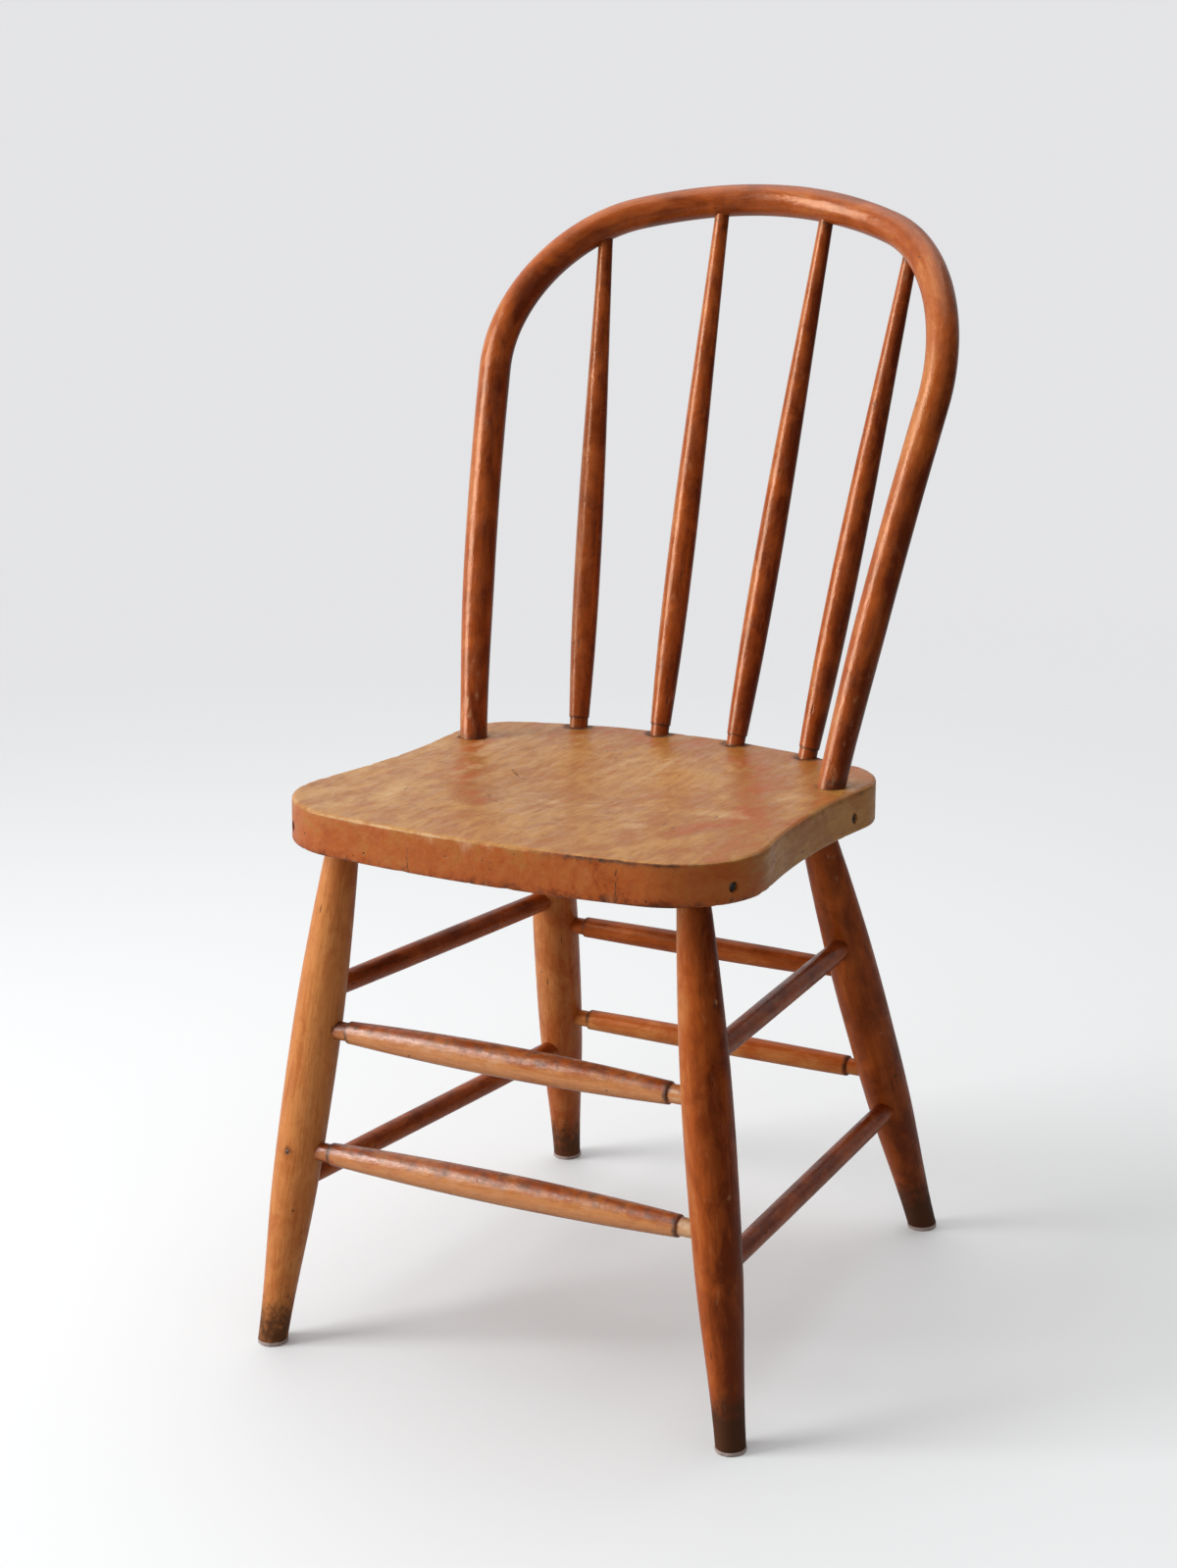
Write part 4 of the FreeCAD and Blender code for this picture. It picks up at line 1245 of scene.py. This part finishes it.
def felt_pad_tree():
    """Puts a round pad with a soft, ragged edge on every point."""
    t = Shape("felt_pad", {"Radius": "Float", "Thickness": "Float", "Raggedness": "Float"})
    radius, thickness, raggedness = [t.given[size] for size in ("Radius", "Thickness", "Raggedness")]
    pad = {"Vertices": 72, "Side Segments": 6, "Fill Segments": 4, "Radius": radius, "Depth": thickness}
    pads = t.on_points(t.get("GeometryNodeMeshCylinder", pad))
    place = t.get("GeometryNodeInputPosition")
    from_centre = t.vector_calc("SUBTRACT", place, t.named("centre", "FLOAT_VECTOR"))
    flat = t.vector_calc("MULTIPLY", from_centre, (1, 1, 0))
    near_rim = t.calc("POWER", t.calc("DIVIDE", t.vector_calc("LENGTH", flat), radius), 8.0)
    from_half = t.calc("DIVIDE", t.times(t.split(from_centre)[2], 2.0), thickness)
    near_faces = t.calc("POWER", t.calc("ABSOLUTE", from_half), 6.0)
    pull = t.plus(t.times(t.noise(place, 420, 3), 1.6), t.times(near_faces, 0.7))
    pull = t.times(t.times(pull, near_rim), raggedness)
    pads = t.moved(pads, t.vector_calc("NORMALIZE", flat), t.times(pull, -1.0))
    return t.close(t.smooth(pads))


class CHAIR_OT_hardware(bpy.types.Operator):
    """Drive the screws and the nail, and stick on the floor pads"""
    bl_idname = "chair.hardware"
    bl_label = "Screws, nail and pads"

    def execute(self, context):
        steel = shared(bpy.data.materials, "old_steel", steel_material)
        felt = shared(bpy.data.materials, "worn_felt", pad_material)
        drive_screws(steel)
        drive_nail(steel)
        for leg in LEGS:
            stick_pad("floor_pad_" + leg, felt)
        return {"FINISHED"}


def drive_screws(steel):
    """The four screws, each with its slot at its own turn."""
    slot_turns = (0.5, 2.2, 1.57, 1.57)
    sizes = settings().hardware
    heads, axes, lengths = zip(*screw_places())
    screws = points_object("slotted_screws", heads, axis=axes, turn=slot_turns)
    grown(screws, shared(bpy.data.node_groups, "slotted_screw", slotted_screw_tree), material=steel,
          head_radius=sizes.head_radius, head_height=sizes.head_height, slot_width=sizes.slot_width,
          slot_depth=sizes.slot_depth, length=min(lengths) - sizes.head_height)
    hand_over(screws, "seat_edge_screws")


def drive_nail(steel):
    """The nail, with a round head and a drawn-in point."""
    head = ((0, 0.0012), (0.0003, 0.0017), (0.0010, 0.0020), (0.0014, 0.0020))
    head_height, shank_radius, point_length, point_radius = 0.0016, 0.0011, 0.003, 0.0004
    low, high, inward = rod_ends("stretcher_nail")
    length = (high - low).length
    reaches, radii = zip(*head, (head_height, shank_radius), (length - point_length, shank_radius),
                         (length, point_radius))
    nail = round_piece("driven_nail", [low + inward * at for at in reaches], radii, steel)
    hand_over(nail, "stretcher_nail")


def stick_pad(node, felt):
    """A felt pad in the place of its frame node."""
    sizes = settings().hardware
    low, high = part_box(node)
    centre = (low + high) / 2
    pad = points_object("felt_" + node, [centre], centre=[centre])
    grown(pad, shared(bpy.data.node_groups, "felt_pad", felt_pad_tree), material=felt,
          radius=(high.x - low.x) / 2 - sizes.pad_margin, thickness=high.z - low.z,
          raggedness=sizes.pad_raggedness)
    hand_over(pad, node)


# Stage

class CHAIR_OT_stage(bpy.types.Operator):
    """Set the floor, the light and the camera"""
    bl_idname = "chair.stage"
    bl_label = "Stage"

    def execute(self, context):
        lay_floor()
        light_world()
        hang_lights()
        place_camera()
        bpy.context.scene.view_settings.view_transform = "Standard"
        return {"FINISHED"}


def lay_floor():
    """A round pale floor that fades into the wall's tone, and throws back less light than it shows."""
    radius = 3.4
    fade_from, fade_to = 0.6, 2.3
    shown, thrown_back = (0.845, 0.858, 0.865), (0.42, 0.42, 0.42)
    mesh = bpy.data.meshes.new("floor")
    with worked(mesh) as work:
        bmesh.ops.create_circle(work, cap_ends=True, segments=96, radius=radius)
    floor = linked("floor", mesh)
    s = Shader("studio_floor")
    tone = s.mix(s.ray("Camera"), thrown_back, shown)
    s.finish({"Base Color": tone, "Roughness": 0.6, "Specular IOR Level": 0.2})
    away = s.span(s.vector_calc("LENGTH", s.place()), fade_from, fade_to)
    clear = s.get("ShaderNodeBsdfTransparent")
    blend = s.get("ShaderNodeMixShader", {0: away, 1: s.surface.outputs[0], 2: clear})
    s.feed(s.tree.nodes["Material Output"].inputs["Surface"], blend)
    mesh.materials.append(s.material)


def lopsided(t, way, strongest, weak, strong):
    """A strength that grows from weak to strong as a direction turns to the strongest one."""
    side = t.vector_calc("DOT_PRODUCT", way, strongest)
    inputs = {"Value": side, "From Min": -1, "From Max": 1, "To Min": weak, "To Max": strong}
    return t.get("ShaderNodeMapRange", inputs)


def light_world():
    """Soft light, stronger from the window side, and a pale wall for the rays that only look."""
    dimmest = 0.05
    world = bpy.data.worlds.new("studio")
    bpy.context.scene.world = world
    world.use_nodes = True
    t = Tree(world.node_tree)
    way = t.place("Generated")
    lit = lopsided(t, way, (-0.70, -0.30, 0.65), 0.04, 0.86)
    mirrored = t.larger(lopsided(t, way, (-0.72, 0.55, 0.42), -0.85, 1.0), dimmest)
    shown = t.larger(mirrored, t.ray("Camera"))
    soft = t.get("ShaderNodeBackground", {"Color": (1, 1, 1, 1), "Strength": lit})
    wall = t.get("ShaderNodeBackground", {"Color": (0.775, 0.777, 0.79, 1), "Strength": shown})
    only_looks = t.larger(t.larger(t.ray("Camera"), t.ray("Glossy")), t.ray("Transmission"))
    both = t.get("ShaderNodeMixShader", {0: only_looks, 1: soft, 2: wall})
    t.feed(world.node_tree.nodes["World Output"].inputs["Surface"], both)


def hang_lights():
    """A large window light from the left and a weak one from above."""
    aim = Vector((0, 0, 0.42))
    lamps = (("window", (-2.5, -2.0, 1.85), (1.5, 2.8), 97), ("ceiling", (-0.2, 0.7, 2.9), (2.6, 2.6), 20))
    for name, place, size, power in lamps:
        lamp = bpy.data.lights.new(name, "AREA")
        lamp.shape = "RECTANGLE"
        lamp.size, lamp.size_y = size
        lamp.energy = power
        holder = linked(name, lamp)
        holder.location = place
        holder.rotation_euler = (aim - holder.location).to_track_quat("-Z", "Y").to_euler()


def place_camera():
    """The photograph's viewpoint, found from the outlines of the chair."""
    place = Vector((1.29025, -2.38837, 1.28443))
    right = Vector((0.87576202, 0.48217522, -0.02340799))
    up = Vector((-0.12643969, 0.27590584, 0.95283208))
    camera = bpy.data.cameras.new("camera")
    camera.sensor_width = 36
    camera.lens = 81.545
    holder = linked("camera", camera)
    turn = Matrix((right, up, right.cross(up))).transposed()
    holder.matrix_world = Matrix.Translation(place) @ turn.to_4x4()
    bpy.context.scene.camera = holder


# Add-on

class CHAIR_PT_panel(bpy.types.Panel):
    """The chair's steps and settings"""
    bl_idname = "CHAIR_PT_panel"
    bl_label = "Windsor chair"
    bl_space_type = "VIEW_3D"
    bl_region_type = "UI"
    bl_category = "Chair"

    def draw(self, context):
        for step in STEPS:
            self.layout.operator(step.bl_idname)
        for group in ("seat", "bow", "stock", "hardware", "wood"):
            box = self.layout.box()
            values = getattr(settings(), group)
            for name in values.__annotations__:
                box.prop(values, name)


GROUPS = (SeatSizes, BowSizes, StockSizes, HardwareSizes, WoodLook, ChairSettings)
STEPS = (CHAIR_OT_seat, CHAIR_OT_legs, CHAIR_OT_stretchers, CHAIR_OT_bow, CHAIR_OT_spindles,
         CHAIR_OT_hardware, CHAIR_OT_stage)


def register():
    for item in (*GROUPS, *STEPS, CHAIR_PT_panel):
        bpy.utils.register_class(item)
    bpy.types.Scene.windsor_chair = PointerProperty(type=ChairSettings)


def unregister():
    del bpy.types.Scene.windsor_chair
    for item in reversed((*GROUPS, *STEPS, CHAIR_PT_panel)):
        bpy.utils.unregister_class(item)


def main():
    register()
    for step in STEPS:
        family, name = step.bl_idname.split(".")
        getattr(getattr(bpy.ops, family), name)()


if __name__ == "__main__":
    main()
